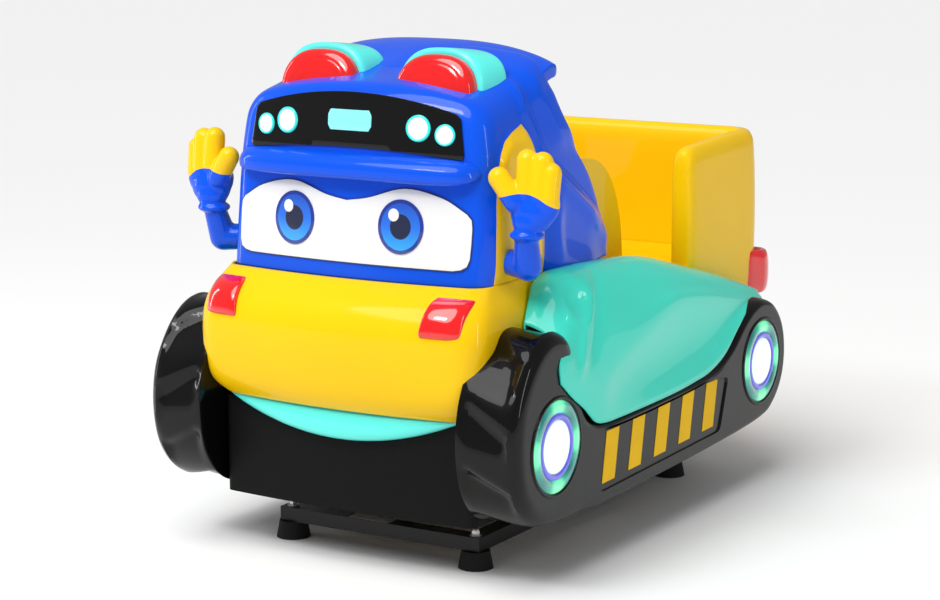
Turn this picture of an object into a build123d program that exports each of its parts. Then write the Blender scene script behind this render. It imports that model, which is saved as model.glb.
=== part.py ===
"""Coin-operated rocking ride in the shape of a friendly tracked truck.

A steel base frame on four rubber feet carries a geared motor and two pivot bearings.
The fibreglass body sits on a steel carrier frame that rocks fore and aft on a cross axle.
Millimetres, +Z up, the face looks along -Y, +X is the rider's left.
The origin is on the floor under the centre of the bounding box.
"""
import math
import os

from build123d import *

# ---------------------------------------------------------------- driving dimensions
HALF_LENGTH = 708.0          # overall length / 2, nose of the tracks to the tail lamps
HALF_WIDTH = 455.0           # overall width / 2, outer face of the wheel lights
ROOF_TOP = 1072.0            # floor to the crown of the roof hump
SKIN = 6.0                   # fibreglass wall
GAP = 2.0                    # clearance between neighbouring mouldings

# base frame
BASE_Y = -37.0               # centre of the base frame and of the rocker axle
FOOT_X = 230.0
FOOT_Y = 448.0               # half spacing of the feet along the ride
FOOT_HEIGHT = 38.0
FOOT_R_LOW = 37.0
FOOT_R_TOP = 30.0
FOOT_STUD_R = 5.0
RAIL_W = 40.0
RAIL_H = 30.0
RAIL_TOP = FOOT_HEIGHT + RAIL_H
UPRIGHT_T = 8.0
PIVOT_Z = RAIL_TOP + 82.0
AXLE_R = 12.5
AXLE_HALF = 250.0
BEARING_R = 26.0
RUNNING = 0.05               # radial clearance of a shaft in its bore

# drive
CRANK_Y = 240.0
CRANK_Z = RAIL_TOP + 62.0      # the crank disc turns clear of the rails
CRANK_THROW = 18.0
CRANK_R = 50.0
CRANK_T = 12.0
CRANK_X = 100.0              # inner face of the crank disc
SHAFT_R = 10.0
ROD_LENGTH = 105.0
ROD_T = 12.0
ROD_EYE_R = 18.0
PIN_R = 8.0
AXIAL_GAP = 1.0
GEARBOX_X = (20.0, 95.0)
GEARBOX_HALF_Y = 50.0
GEARBOX_TOP = CRANK_Z + 48.0
MOTOR_R = 45.0
MOTOR_Y = (62.0, 190.0)
MOTOR_Z = RAIL_TOP + MOTOR_R + 8.0
FAN_R = 38.0
FAN_SHAFT_R = 5.0
PLATE_T = 6.0

# carrier frame
CARRIER_X = 150.0
CARRIER_HALF_Y = 430.0
TUBE = 30.0
CARRIER_Z = 185.0            # underside of the carrier tubes
CROSS_HALF = 290.0
CROSS_YS = (-400.0, -100.0, 100.0, 400.0)

# tracks and wheel lights
TRACK_IN = 310.0
TRACK_OUT = 450.0
WHEEL_Z = 295.0
FRONT_WHEEL_Y = -540.0
REAR_WHEEL_Y = 440.0
TRACK_BOTTOM = 127.0
TRACK_EDGE = 12.0            # rounding of the outer edges of the tracks
REAR_WALL_R = 148.0
LIGHT_R = 96.0
LIGHT_INNER_R = 68.0
CAP_R = 56.0
LIGHT_POCKET = 12.0

# lower body
SKIRT_BOTTOM = 124.0
SKIRT_TOP = 333.0
SKIRT_HALF = 307.0
SKIRT_FRONT = -635.0
SKIRT_BOW = 15.0
SKIRT_REAR = 600.0
FACE_BOTTOM = 335.0
CAB_BOTTOM = 606.0

# cab
CAB_HALF_LOW = 312.0
CAB_HALF_HIGH = 282.0
CAB_FRONT_LOW = -620.0
CAB_FRONT_HIGH = -578.0
CAB_BOW = 33.0
CAB_CORNER = 45.0
CAB_REAR_LIMIT = -30.0
BROW_T = 44.0                 # thickness of the ledge over the windscreen
CAB_DRAWN_TOP = 1072.0        # roof height at which the cab's outlines are drawn
CAB_OVER_ROOF = 18.0          # the tapered body runs on above the roof that cuts it
CAB_CLEAR = 0.3               # play between the cab and a panel fixed on it
PANEL_OUT = 4.0               # how far the visor and the windscreen stand out
EYE_OUT = 7.0
LAMP_OUT = 10.0

# seat tub
TUB_HALF = 350.0
TUB_FRONT = 282.0
TUB_REAR = 675.0
TUB_BOTTOM = 350.0
TUB_TOP = 814.0
TUB_WALL = 60.0
TUB_CORNER = 75.0
BENCH_TOP = 520.0

# footwell and dash
WELL_HALF = 340.0
WELL_FRONT = -328.0
WELL_FLOOR = 335.0
WELL_TOP = 603.0
DASH_CENTRE = Vector(0, 20, 687)
DASH_NORMAL = Vector(0, 0.868, 0.4966)
DASH_HALF = 204.0
DASH_LONG = 200.0
CHEEK_T = 30.0
COLUMN_R = 10.0
COLUMN_LONG = 62.0
STEER_R = 95.0
STEER_GRIP_R = 11.0
HUB_R = 28.0
HUB_T = 26.0
HORN_R = 17.0
BUTTON_R = 14.0
SLIDE_FIT = 0.5              # play round a push button

# access door
DOOR_HALF = 118.0
DOOR_Z = (384.0, 496.0)
DOOR_GAP = 2.0
HINGE_X = -126.0
HINGE_Y = TUB_REAR + 6.0
KNUCKLE_R = 5.0
HINGE_PIN_R = 2.5
LOCK_R = 9.0
LOCK_X = 92.0

os.makedirs("parts", exist_ok=True)


# ---------------------------------------------------------------- helpers
def save(name, shape):
    """Write one node as a STEP file of its solids."""
    solids = shape.solids()
    export_step(solids[0] if len(solids) == 1 else Compound(children=list(solids)), f"parts/{name}.step")


def save_pair(name, left):
    """Write a left-hand piece and its mirror image."""
    save(f"{name}_left", left)
    save(f"{name}_right", mirror(left, about=Plane.YZ))


def block(x, y, z):
    """A box from three (low, high) pairs."""
    sizes = [high - low for low, high in (x, y, z)]
    centre = [(low + high) / 2 for low, high in (x, y, z)]
    return Pos(*centre) * Box(*sizes)


def rod_x(radius, x, y, z):
    """A cylinder along X from x[0] to x[1]."""
    return Pos((x[0] + x[1]) / 2, y, z) * Rot(0, 90, 0) * Cylinder(radius, x[1] - x[0])


def rod_y(radius, x, y, z):
    """A cylinder along Y from y[0] to y[1]."""
    return Pos(x, (y[0] + y[1]) / 2, z) * Rot(90, 0, 0) * Cylinder(radius, y[1] - y[0])


def rod_z(radius, x, y, z):
    """A cylinder along Z from z[0] to z[1]."""
    return Pos(x, y, (z[0] + z[1]) / 2) * Cylinder(radius, z[1] - z[0])


def side_prism(face, x0, x1):
    """Extrude a face drawn in (y, z) from x0 to x1."""
    return Pos(x0, 0, 0) * extrude(Plane.YZ * face, x1 - x0)


def front_prism(face, y_front, y_rear):
    """Extrude a face drawn in (x, z) from y_rear forward to y_front."""
    return Pos(0, y_rear, 0) * extrude(Plane.XZ * face, y_rear - y_front)


def polygon(points):
    """A flat face through the points."""
    return make_face(Polyline(*points, close=True))


def plan(half_width, front, bow, rear, corner):
    """Plan outline: a bowed front with round corners, straight sides and rear."""
    left, right = (-half_width, front + bow), (half_width, front + bow)
    edges = [
        Line((-half_width, rear), left),
        ThreePointArc(left, (0, front), right),
        Line(right, (half_width, rear)),
        Line((half_width, rear), (-half_width, rear)),
    ]
    face = make_face(edges)
    front_corners = [v for v in face.vertices() if v.Y < front + bow + 1]
    return fillet(front_corners, corner)


def capsule(start, end, radius):
    """A round-ended bar between two points."""
    start, end = Vector(*start), Vector(*end)
    length = (end - start).length
    bar = Plane(origin=start, z_dir=end - start) * Cylinder(
        radius, length, align=(Align.CENTER, Align.CENTER, Align.MIN)
    )
    return bar + Pos(*start) * Sphere(radius) + Pos(*end) * Sphere(radius)


def biggest(shape):
    """Keep the largest solid of a cut shape."""
    return max(shape.solids(), key=lambda s: s.volume)


# ---------------------------------------------------------------- base
def base_frame():
    """Welded box-section frame with cross members, motor plate and pivot uprights."""
    y_front, y_rear = BASE_Y - FOOT_Y, BASE_Y + FOOT_Y
    half = RAIL_W / 2
    level = (FOOT_HEIGHT, RAIL_TOP)
    frame = None
    for x in (-FOOT_X, FOOT_X):
        rail = block((x - half, x + half), (y_front - half, y_rear + half), level)
        frame = rail if frame is None else frame + rail
    for y in (y_front, BASE_Y, CRANK_Y - 100, CRANK_Y + 80, y_rear):
        frame += block((-FOOT_X, FOOT_X), (y - half, y + half), level)
    frame += block((-30, 105), (MOTOR_Y[0], CRANK_Y + 70), (RAIL_TOP, RAIL_TOP + PLATE_T))
    for x in (-FOOT_X, FOOT_X):
        upright = side_prism(
            polygon([(-55, RAIL_TOP), (55, RAIL_TOP), (32, PIVOT_Z + 34), (-32, PIVOT_Z + 34)]),
            x - UPRIGHT_T / 2,
            x + UPRIGHT_T / 2,
        )
        frame += Pos(0, BASE_Y, 0) * upright
    frame -= rod_x(BEARING_R, (-300, 300), BASE_Y, PIVOT_Z)
    for x in (-FOOT_X, FOOT_X):
        for y in (y_front, y_rear):
            frame -= rod_z(FOOT_STUD_R + 0.5, x, y, (0, RAIL_TOP + 1))
    return frame


def foot_places():
    """Centres of the four feet."""
    return [(x, BASE_Y + y) for x in (-FOOT_X, FOOT_X) for y in (-FOOT_Y, FOOT_Y)]


def rubber_feet():
    """Four tapered rubber feet with a flat sole and a hole for the stud."""
    feet = []
    for x, y in foot_places():
        cone = Pos(x, y, FOOT_HEIGHT / 2) * Cone(FOOT_R_LOW, FOOT_R_TOP, FOOT_HEIGHT)
        feet.append(cone - rod_z(FOOT_STUD_R, x, y, (10, FOOT_HEIGHT + 1)))
    return Compound(children=feet)


def foot_bolts():
    """Studs through the frame corners, each with a washer and a dome nut."""
    bolts = []
    for x, y in foot_places():
        stud = rod_z(FOOT_STUD_R, x, y, (10, RAIL_TOP + 6))
        washer = rod_z(13, x, y, (RAIL_TOP, RAIL_TOP + 2.5))
        nut = Pos(x, y, RAIL_TOP + 2.5) * extrude(RegularPolygon(9, 6), 8)
        dome = Pos(x, y, RAIL_TOP + 10.5) * Sphere(7)
        bolts.append(stud + washer + nut + dome)
    return Compound(children=bolts)


def pivot_bearings():
    """Two flanged bearings pressed in the uprights."""
    pair = []
    for side in (-1, 1):
        x = side * FOOT_X
        outer = sorted((x + side * UPRIGHT_T / 2, x + side * (UPRIGHT_T / 2 + 6)))
        body = rod_x(BEARING_R, (x - UPRIGHT_T / 2, x + UPRIGHT_T / 2), BASE_Y, PIVOT_Z)
        body += rod_x(BEARING_R + 6, outer, BASE_Y, PIVOT_Z)
        pair.append(body - rod_x(AXLE_R + RUNNING, (x - 30, x + 30), BASE_Y, PIVOT_Z))
    return Compound(children=pair)


def gearbox():
    """Worm gearbox housing with a foot flange and a bore for the output shaft."""
    low, high = CRANK_Y - GEARBOX_HALF_Y, CRANK_Y + GEARBOX_HALF_Y
    floor = RAIL_TOP + PLATE_T
    box = block(GEARBOX_X, (low, high), (floor, GEARBOX_TOP))
    box = fillet(box.edges().filter_by(Axis.X), 10)
    box += block((GEARBOX_X[0] - 18, GEARBOX_X[1]), (low - 0, high + 12), (floor, floor + 8))
    box += rod_x(24, (GEARBOX_X[1], GEARBOX_X[1] + 4), CRANK_Y, CRANK_Z)
    return box - rod_x(SHAFT_R + RUNNING, (50, GEARBOX_X[1] + 5), CRANK_Y, CRANK_Z)


def motor():
    """Finned motor body and its terminal box."""
    x = sum(GEARBOX_X) / 2
    body = rod_y(MOTOR_R, x, MOTOR_Y, MOTOR_Z)
    for turn in range(0, 360, 20):
        fin = Pos(x, sum(MOTOR_Y) / 2, MOTOR_Z) * Rot(0, turn, 0)
        if math.cos(math.radians(turn)) > -0.8:
            fin_height = 3.0
            body += fin * Pos(0, 0, MOTOR_R + fin_height / 2 - 0.5) * Box(3, 90, fin_height + 1)
    body += rod_y(FAN_SHAFT_R, x, (MOTOR_Y[0] - 24, MOTOR_Y[0] + 1), MOTOR_Z)
    return body + block((x - 75, x - 35), (100, 160), (MOTOR_Z - 18, MOTOR_Z + 28))


def fan_cowl():
    """Sheet-metal cup over the cooling fan, open at a ring of slots."""
    x = sum(GEARBOX_X) / 2
    front = MOTOR_Y[0] - 34
    cup = rod_y(MOTOR_R + 2, x, (front, MOTOR_Y[0]), MOTOR_Z)
    cup -= rod_y(MOTOR_R - 0.5, x, (front + 2, MOTOR_Y[0] + 1), MOTOR_Z)
    for turn in range(0, 360, 30):
        slot = Pos(x, front, MOTOR_Z) * Rot(0, turn, 0) * Pos(0, 0, 24) * Box(6, 8, 22)
        cup -= slot
    return cup


def motor_fan():
    """Cooling fan: a hub on the motor shaft and eight flat blades."""
    x = sum(GEARBOX_X) / 2
    hub_y = (MOTOR_Y[0] - 22, MOTOR_Y[0] - 8)
    fan = rod_y(12, x, hub_y, MOTOR_Z)
    for turn in range(0, 360, 45):
        blade = Pos(x, sum(hub_y) / 2, MOTOR_Z) * Rot(0, turn, 0)
        fan += blade * Pos(0, 0, FAN_R / 2 + 4) * Box(2.5, 14, FAN_R - 8)
    return fan - rod_y(FAN_SHAFT_R + RUNNING, x, (0, 100), MOTOR_Z)


def crank():
    """Crank disc on the gearbox output shaft."""
    disc = rod_x(CRANK_R, (CRANK_X, CRANK_X + CRANK_T), CRANK_Y, CRANK_Z)
    disc += rod_x(SHAFT_R, (60, CRANK_X + 1), CRANK_Y, CRANK_Z)
    return disc - rod_x(PIN_R, (CRANK_X - 1, CRANK_X + CRANK_T + 1), CRANK_Y - CRANK_THROW - 14, CRANK_Z)


def rating_plate():
    """Blank aluminium plate on the front cross member."""
    y = BASE_Y - FOOT_Y
    return block((-75, 25), (y - 16, y + 16), (RAIL_TOP, RAIL_TOP + 1))


def base_parts():
    """Everything that stands still."""
    save("base_frame", base_frame())
    save("rubber_feet", rubber_feet())
    save("foot_bolts", foot_bolts())
    save("pivot_bearings", pivot_bearings())
    save("gearbox", gearbox())
    save("motor", motor())
    save("fan_cowl", fan_cowl())
    save("motor_fan", motor_fan())
    save("crank", crank())
    save("rating_plate", rating_plate())


# ---------------------------------------------------------------- connecting rod
ROD_X = (CRANK_X + CRANK_T + 4, CRANK_X + CRANK_T + 4 + ROD_T)
ROD_Y = CRANK_Y - CRANK_THROW
ROD_PIN_Z = CRANK_Z + ROD_LENGTH


def rod_parts():
    """Connecting rod with its crank pin, and the upper pin held by the carrier."""
    rod = rod_x(ROD_EYE_R, ROD_X, ROD_Y, CRANK_Z) + rod_x(ROD_EYE_R, ROD_X, ROD_Y, ROD_PIN_Z)
    rod += block(ROD_X, (ROD_Y - 11, ROD_Y + 11), (CRANK_Z, ROD_PIN_Z))
    rod -= rod_x(PIN_R, (0, 200), ROD_Y, CRANK_Z)
    rod -= rod_x(PIN_R + RUNNING, (0, 200), ROD_Y, ROD_PIN_Z)
    save("connecting_rod", rod)
    save("crank_pin", rod_x(PIN_R, (CRANK_X + CRANK_T + AXIAL_GAP, ROD_X[1] + 3), ROD_Y, CRANK_Z))
    save("rod_pin", rod_x(PIN_R, (ROD_X[0] - 10, ROD_X[1] + 10), ROD_Y, ROD_PIN_Z))


def carrier_frame():
    """Welded tube frame that hangs on the axle and carries the mouldings."""
    half = TUBE / 2
    level = (CARRIER_Z, CARRIER_Z + TUBE)
    frame = None
    for x in (-CARRIER_X, CARRIER_X):
        rail = block((x - half, x + half), (-CARRIER_HALF_Y, CARRIER_HALF_Y), level)
        frame = rail if frame is None else frame + rail
        frame += block((x - 6, x + 6), (BASE_Y - 30, BASE_Y + 30), (PIVOT_Z - 24, CARRIER_Z + 2))
        for y in (CROSS_YS[1], CROSS_YS[2]):
            frame += block((x - half, x + half), (y - half, y + half), (CARRIER_Z, WELL_FLOOR - 1))
        frame += block((x - half, x + half), (ROD_Y - half, ROD_Y + half), (CARRIER_Z, ROD_PIN_Z + 50))
        post = block((x - half, x + half), (CROSS_YS[3] - half, CROSS_YS[3] + half), (CARRIER_Z, BENCH_TOP - SKIN - 1))
        frame += post
    for y in CROSS_YS:
        frame += block((-CROSS_HALF, CROSS_HALF), (y - half, y + half), level)
    frame += block((-CARRIER_X, CARRIER_X), (ROD_Y - half, ROD_Y + half), (ROD_PIN_Z + 20, ROD_PIN_Z + 50))
    for x0 in (ROD_X[0] - 8, ROD_X[1] + 2):
        frame += block((x0, x0 + 6), (ROD_Y - 14, ROD_Y + 14), (ROD_PIN_Z - 16, ROD_PIN_Z + 22))
    frame -= rod_x(AXLE_R, (-300, 300), BASE_Y, PIVOT_Z)
    return frame - rod_x(PIN_R, (ROD_X[0] - 12, ROD_X[1] + 12), ROD_Y, ROD_PIN_Z)


# ---------------------------------------------------------------- tracks
def track_outline(grow=0.0):
    """Side outlines of a track pod: tall front hood, and the low middle up to the rear wheel."""
    low, front = TRACK_BOTTOM - grow, HALF_LENGTH + grow
    hood = polygon([
        (-525, low), (-612, low + 16), (3 - front + 25, 205), (3 - front, 295), (3 - front + 12, 385),
        (-655 - grow, 455 + grow), (-605, 505 + grow), (-540, 530 + grow), (-480 + grow, 508 + grow),
        (-445 + grow, 462 + grow), (-425 + grow, 400), (-410 + grow, 310 + grow), (-410 + grow, low),
    ])
    middle = polygon([
        (-525, low), (REAR_WHEEL_Y, WHEEL_Z - REAR_WALL_R - grow),
        (REAR_WHEEL_Y + 20, WHEEL_Z + REAR_WALL_R - 4 + grow), (345 - grow, 398 + grow),
        (175, 318 + grow), (-420, 304 + grow),
    ])
    return hood, middle


def track_solid(x0, x1, grow=0.0):
    """A closed track pod between two X planes."""
    hood, middle = track_outline(grow)
    pod = side_prism(hood, x0, x1) + side_prism(middle, x0, x1)
    return pod + rod_x(REAR_WALL_R + grow, (x0, x1), REAR_WHEEL_Y, WHEEL_Z)


def wheel_places():
    """Centres of the wheel lights on one side."""
    return [(FRONT_WHEEL_Y, WHEEL_Z), (REAR_WHEEL_Y, WHEEL_Z)]


def hazard_outline():
    """The recessed panel between the wheels."""
    return polygon([(-360, 158), (225, 172), (262, 292), (150, 302), (-350, 290)])


def track():
    """Left track moulding: a wall all round, open towards the body."""
    shell = track_solid(TRACK_IN, TRACK_OUT)
    rim = [e for e in shell.edges() if e.bounding_box().min.X > TRACK_OUT - 0.1]
    shell = chamfer(rim, TRACK_EDGE)
    inner = track_solid(TRACK_IN - 1, TRACK_OUT - SKIN - LIGHT_POCKET, grow=-SKIN)
    shell -= inner
    for y, z in wheel_places():
        shell -= rod_x(LIGHT_R + 0.5, (TRACK_OUT - LIGHT_POCKET, TRACK_OUT + 1), y, z)
    return shell - side_prism(hazard_outline(), TRACK_OUT - 4, TRACK_OUT + 1)


def hazard_stripes():
    """Five slanted stripes laid in the recessed panel of the left track."""
    stripes = []
    for index in range(5):
        y = -340 + index * 118.5
        low, high = 174 + index * 3.5, 282 + index * 3
        stripe = polygon([(y, low), (y + 56, low + 1), (y + 76, high), (y + 20, high)])
        stripes.append(side_prism(stripe, TRACK_OUT - 4, TRACK_OUT - 3))
    return stripes


def wheel_rings():
    """Translucent light rings, left side."""
    rings = []
    for y, z in wheel_places():
        ring = rod_x(LIGHT_R, (TRACK_OUT - LIGHT_POCKET, HALF_WIDTH), y, z)
        rings.append(ring - rod_x(LIGHT_INNER_R, (TRACK_OUT - 50, HALF_WIDTH + 1), y, z))
    return rings


def wheel_caps():
    """Flat hub discs inside the rings, left side."""
    return [
        rod_x(LIGHT_INNER_R - 0.3, (TRACK_OUT - LIGHT_POCKET, HALF_WIDTH - 2), y, z)
        for y, z in wheel_places()
    ]


def both_sides(solids):
    """Left-hand solids together with their mirror images."""
    return Compound(children=[*solids, *[mirror(s, about=Plane.YZ) for s in solids]])


# ---------------------------------------------------------------- lower body
def skirt_prism(grow, z0, z1):
    """Solid of the lower body's plan outline."""
    face = plan(SKIRT_HALF + grow, SKIRT_FRONT - grow, SKIRT_BOW, SKIRT_REAR + grow, 18)
    return Pos(0, 0, z0) * extrude(face, z1 - z0)


def skirt_shell():
    """Lower body: front apron, sides and rear apron, open below and above."""
    shell = skirt_prism(0, SKIRT_BOTTOM, SKIRT_TOP) - skirt_prism(-SKIN, SKIRT_BOTTOM - 1, SKIRT_TOP + 1)
    deck = block((-SKIRT_HALF, SKIRT_HALF), (SKIRT_REAR - SKIN, TUB_REAR - SKIN - GAP), (SKIRT_TOP - SKIN, SKIRT_TOP))
    return shell + deck


def chin_strip():
    """Crescent moulding under the face."""
    left, right = (-282, SKIRT_TOP), (282, SKIRT_TOP)
    crescent = make_face([ThreePointArc(left, (0, 272), right), Line(right, left)])
    band = skirt_prism(14, 250, SKIRT_TOP) - skirt_prism(0.3, 249, SKIRT_TOP + 1)
    return band & front_prism(crescent, -700, -500)


FACE_SECTIONS = (
    # height, half width, front, bow, corner
    (FACE_BOTTOM, 299, -656, 24, 60),
    (400, 322, -690, 36, 80),
    (470, 338, -705, 42, 90),
    (535, 341, -703, 46, 90),
    (580, 330, -672, 40, 72),
    (CAB_BOTTOM, 316, -630, 34, 50),
)


def face_solid(grow, rear):
    """Bulging lower face as a closed solid."""
    sections = [
        Pos(0, 0, z) * plan(half + grow, front - grow, bow, rear, corner)
        for z, half, front, bow, corner in FACE_SECTIONS
    ]
    return loft(sections)


def face_shell():
    """Lower face moulding, open at the back, cut clear of the tracks."""
    inner = face_solid(-SKIN, WELL_FRONT + 20)
    shell = face_solid(0, WELL_FRONT - GAP) - inner
    envelope = track_solid(TRACK_IN - GAP, TRACK_OUT, grow=GAP)
    return shell - envelope - mirror(envelope, about=Plane.YZ)


def indicator():
    """Left front marker lamp, wrapped round the corner of the face."""
    outline = polygon([(223, 527), (286, 520), (302, 536), (302, 588), (240, 590)])
    lens = (face_solid(9, WELL_FRONT) - face_solid(0.3, WELL_FRONT)) & front_prism(outline, -760, -560)
    return biggest(lens)


# ---------------------------------------------------------------- cab
def up(z):
    """Height on the cab: its outlines stretch with the roof above the cab's foot."""
    return CAB_BOTTOM + (z - CAB_BOTTOM) * (ROOF_TOP - CAB_BOTTOM) / (CAB_DRAWN_TOP - CAB_BOTTOM)


def cab_loft(grow):
    """Tapered, leaning plan body of the cab."""
    low = plan(CAB_HALF_LOW + grow, CAB_FRONT_LOW - grow, CAB_BOW, CAB_REAR_LIMIT + grow, CAB_CORNER)
    high = plan(CAB_HALF_HIGH + grow, CAB_FRONT_HIGH - grow, CAB_BOW, CAB_REAR_LIMIT + grow, CAB_CORNER)
    return loft([Pos(0, 0, CAB_BOTTOM) * low, Pos(0, 0, ROOF_TOP + CAB_OVER_ROOF) * high], ruled=True)


def cab_side(inset):
    """Side profile: brow roof rising to a hump, then a long rear slope."""
    roof = Spline(
        (-640, up(982) - inset), (-560, up(1000) - inset), (-440, up(1028) - inset), (-340, up(1060) - inset),
        (-290, ROOF_TOP - inset), (-258 - inset, up(1058) - inset),
    )
    rear = Spline(
        (-258 - inset, up(1058) - inset), (-270 - inset, up(1005)), (-258 - inset, up(940)), (-200 - inset, up(862)),
        (-128 - inset, up(785)), (-80 - inset, up(690)), (-64 - inset, CAB_BOTTOM - 2),
    )
    low = Polyline((-64 - inset, CAB_BOTTOM - 2), (-640, CAB_BOTTOM - 2), (-640, up(982) - inset))
    return side_prism(make_face([*roof.edges(), *rear.edges(), *low.edges()]), -400, 400)


def arch_section(y, side, crown, inset):
    """Front view arch with rounded shoulders, placed at one station."""
    half = 318 - inset
    arch = ThreePointArc((-half, side - inset), (0, crown - inset), (half, side - inset))
    foot = CAB_BOTTOM - 16
    walls = Polyline((half, side - inset), (half, foot), (-half, foot), (-half, side - inset))
    face = make_face([*arch.edges(), *walls.edges()])
    shoulders = [v for v in face.vertices() if v.Y > foot + 1]
    return Pos(0, y, 0) * (Plane.XZ * fillet(shoulders, 55))


def cab_arch(inset):
    """Arch that rises from the visor to the hump."""
    return loft([arch_section(-660, up(938), up(984), inset), arch_section(0, up(1118), up(1150), inset)], ruled=True)


def cab_solid(grow=0.0):
    """Outside of the cab, or with a negative grow its cavity."""
    return cab_loft(grow) & cab_side(-grow) & cab_arch(-grow)


def brow():
    """Ledge over the windscreen."""
    face = plan(293, -650, 40, -556, 42)
    ledge = Pos(0, 0, up(812)) * extrude(face, BROW_T)
    return fillet(ledge.edges().filter_by(lambda e: e.center().Y < -560).group_by(Axis.Z)[-1], 8)


def cab_layer(near, far, outline):
    """A piece that follows the cab's front, between two offsets, cut to an outline in (x, z)."""
    skin = cab_loft(far) - cab_loft(near)
    return skin & front_prism(outline, -700, -480)


def visor_outline():
    """Arched dark panel above the brow."""
    side_top, side_low = up(948), up(858)
    top = ThreePointArc((-242, side_top), (0, up(984)), (242, side_top))
    low = ThreePointArc((-256, side_low), (0, up(872)), (256, side_low))
    ends = [Line((-256, side_low), (-242, side_top)), Line((256, side_low), (242, side_top))]
    face = make_face([top, low, *ends])
    return fillet([v for v in face.vertices() if v.Y > side_top - 1], 28)


def windscreen_outline():
    """White panel below the brow with a gently waved top edge."""
    side, foot = up(742), up(646)
    top = Spline((-280, side), (-130, up(796)), (0, up(772)), (130, up(796)), (280, side))
    rest = Polyline((280, side), (276, foot), (-276, foot), (-280, side))
    face = make_face([*top.edges(), *rest.edges()])
    return fillet([v for v in face.vertices() if v.Y < foot + 1], 18)


def siren_arch(rise, x_grow):
    """Arched outline of a roof lamp, left side."""
    left, right = (52 - x_grow, up(960)), (228 + x_grow, up(960))
    hip, crest = up(1000), up(1058)
    edges = [
        Line(left, (58 - x_grow, hip)),
        ThreePointArc((58 - x_grow, hip), (140, crest + rise), (222 + x_grow, hip)),
        Line((222 + x_grow, hip), right),
        Line(right, left),
    ]
    return make_face(edges)


def roof_lamps(cab):
    """Left roof lamp lens and the cowl behind it, seated on the cab roof."""
    lens = biggest(front_prism(siren_arch(0, 0), -526, -478) - cab)
    cowl = biggest(front_prism(siren_arch(10, 12), -477.7, -384) - cab)
    return lens, cowl


def eye_discs():
    """Two round eyes on the windscreen."""
    return [
        cab_layer(PANEL_OUT + CAB_CLEAR, EYE_OUT, Pos(side * 129, up(722)) * Ellipse(52, (up(778) - up(666)) / 2))
        for side in (-1, 1)
    ]


def headlamps():
    """Four round lamps in the visor."""
    lamps = []
    for side in (-1, 1):
        for x, z, radius in ((216, 906, 23), (158, 916, 28)):
            lamps.append(cab_layer(PANEL_OUT + CAB_CLEAR, LAMP_OUT, Pos(side * x, up(z)) * Circle(radius)))
    return lamps


def cab_parts():
    """Cab moulding and all that is fixed on its front and roof."""
    cab = cab_solid()
    reach = (CAB_BOTTOM + 1, ROOF_TOP + 2 * CAB_OVER_ROOF)
    save("cab_shell", (cab + brow() - cab_solid(-SKIN)) & block((-400, 400), (-760, 0), reach))
    save("visor_panel", cab_layer(CAB_CLEAR, PANEL_OUT, visor_outline()))
    save("windscreen", cab_layer(CAB_CLEAR, PANEL_OUT, windscreen_outline()))
    save("eye_discs", Compound(children=eye_discs()))
    save("headlamps", Compound(children=headlamps()))
    low, middle, high = up(900), up(926), up(952)
    badge = polygon([(-40, low), (40, low), (52, middle), (40, high), (-40, high), (-52, middle)])
    save("visor_badge", cab_layer(PANEL_OUT + CAB_CLEAR, EYE_OUT, badge))
    lens, cowl = roof_lamps(cab)
    save("siren_lenses", both_sides([lens]))
    save("siren_cowls", both_sides([cowl]))


# ---------------------------------------------------------------- arms
SHOULDER = (322, -505, 652)
ELBOW = (376, -528, 652)
WRIST = (380, -543, 706)


def arm():
    """Left arm: shoulder stub, elbow, forearm and cuff."""
    limb = capsule(SHOULDER, ELBOW, 27) + capsule(ELBOW, WRIST, 26)
    cuff = Pos(381, -545, 716) * Cylinder(37, 20)
    limb += fillet(cuff.edges(), 8)
    cab_side_gap = cab_loft(0.5)
    return biggest(limb - cab_side_gap)


def hand():
    """Left hand: palm, three fingers and a thumb."""
    palm = Pos(400.5, -558, 776) * scale(Sphere(54), by=(1.0, 0.6, 1.06))
    base = Pos(388, -550, 744) * Cylinder(32, 34)
    body = palm + base
    for start, end, radius in (
        ((382, -560, 800), (376, -556, 857), 22),
        ((412, -560, 800), (415, -556, 861), 23),
        ((432, -558, 790), (434, -553, 838), 20),
        ((366, -562, 780), (338, -572, 818), 19),
    ):
        body += capsule(start, end, radius)
    return body - Pos(381, -545, 716) * Cylinder(40, 20.6) - arm()


# ---------------------------------------------------------------- fenders
FENDER_BREAK = -58.0         # where the fender's top starts to fall towards the rear
FENDER_STATIONS = (
    # y, inner lip x, lip z, ridge x, ridge z, outer x, outer z
    (-508, 345, 536, 366, 548, 410, 512),
    (-450, 330, 600, 362, 612, 424, 500),
    (-330, 322, 612, 366, 620, 436, 440),
    (-100, 322, 602, 372, 606, 442, 400),
    (FENDER_BREAK, 353, 596, 374, 601, 443, 398),
    (280, 353, 520, 382, 524, 440, 420),
    (520, 353, 440, 386, 444, 408, 424),
)


def fender_solid(drop, stations):
    """Loft of five-sided sections along the ride, its top and outside lowered by drop."""
    sections = []
    for y, x_lip, z_lip, x_ridge, z_ridge, x_out, z_out in stations:
        low = 296 if drop == 0 else 290
        face = polygon([
            (TUB_HALF + GAP, low), (TUB_HALF + GAP, z_lip - 12 - drop), (x_lip, z_lip - drop),
            (x_ridge, z_ridge - drop), (x_out - drop, z_out - drop / 2), (TRACK_OUT - 2 - drop, low),
        ])
        sections.append(Pos(0, y, 0) * (Plane.XZ * face))
    return loft(sections, ruled=True)


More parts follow.
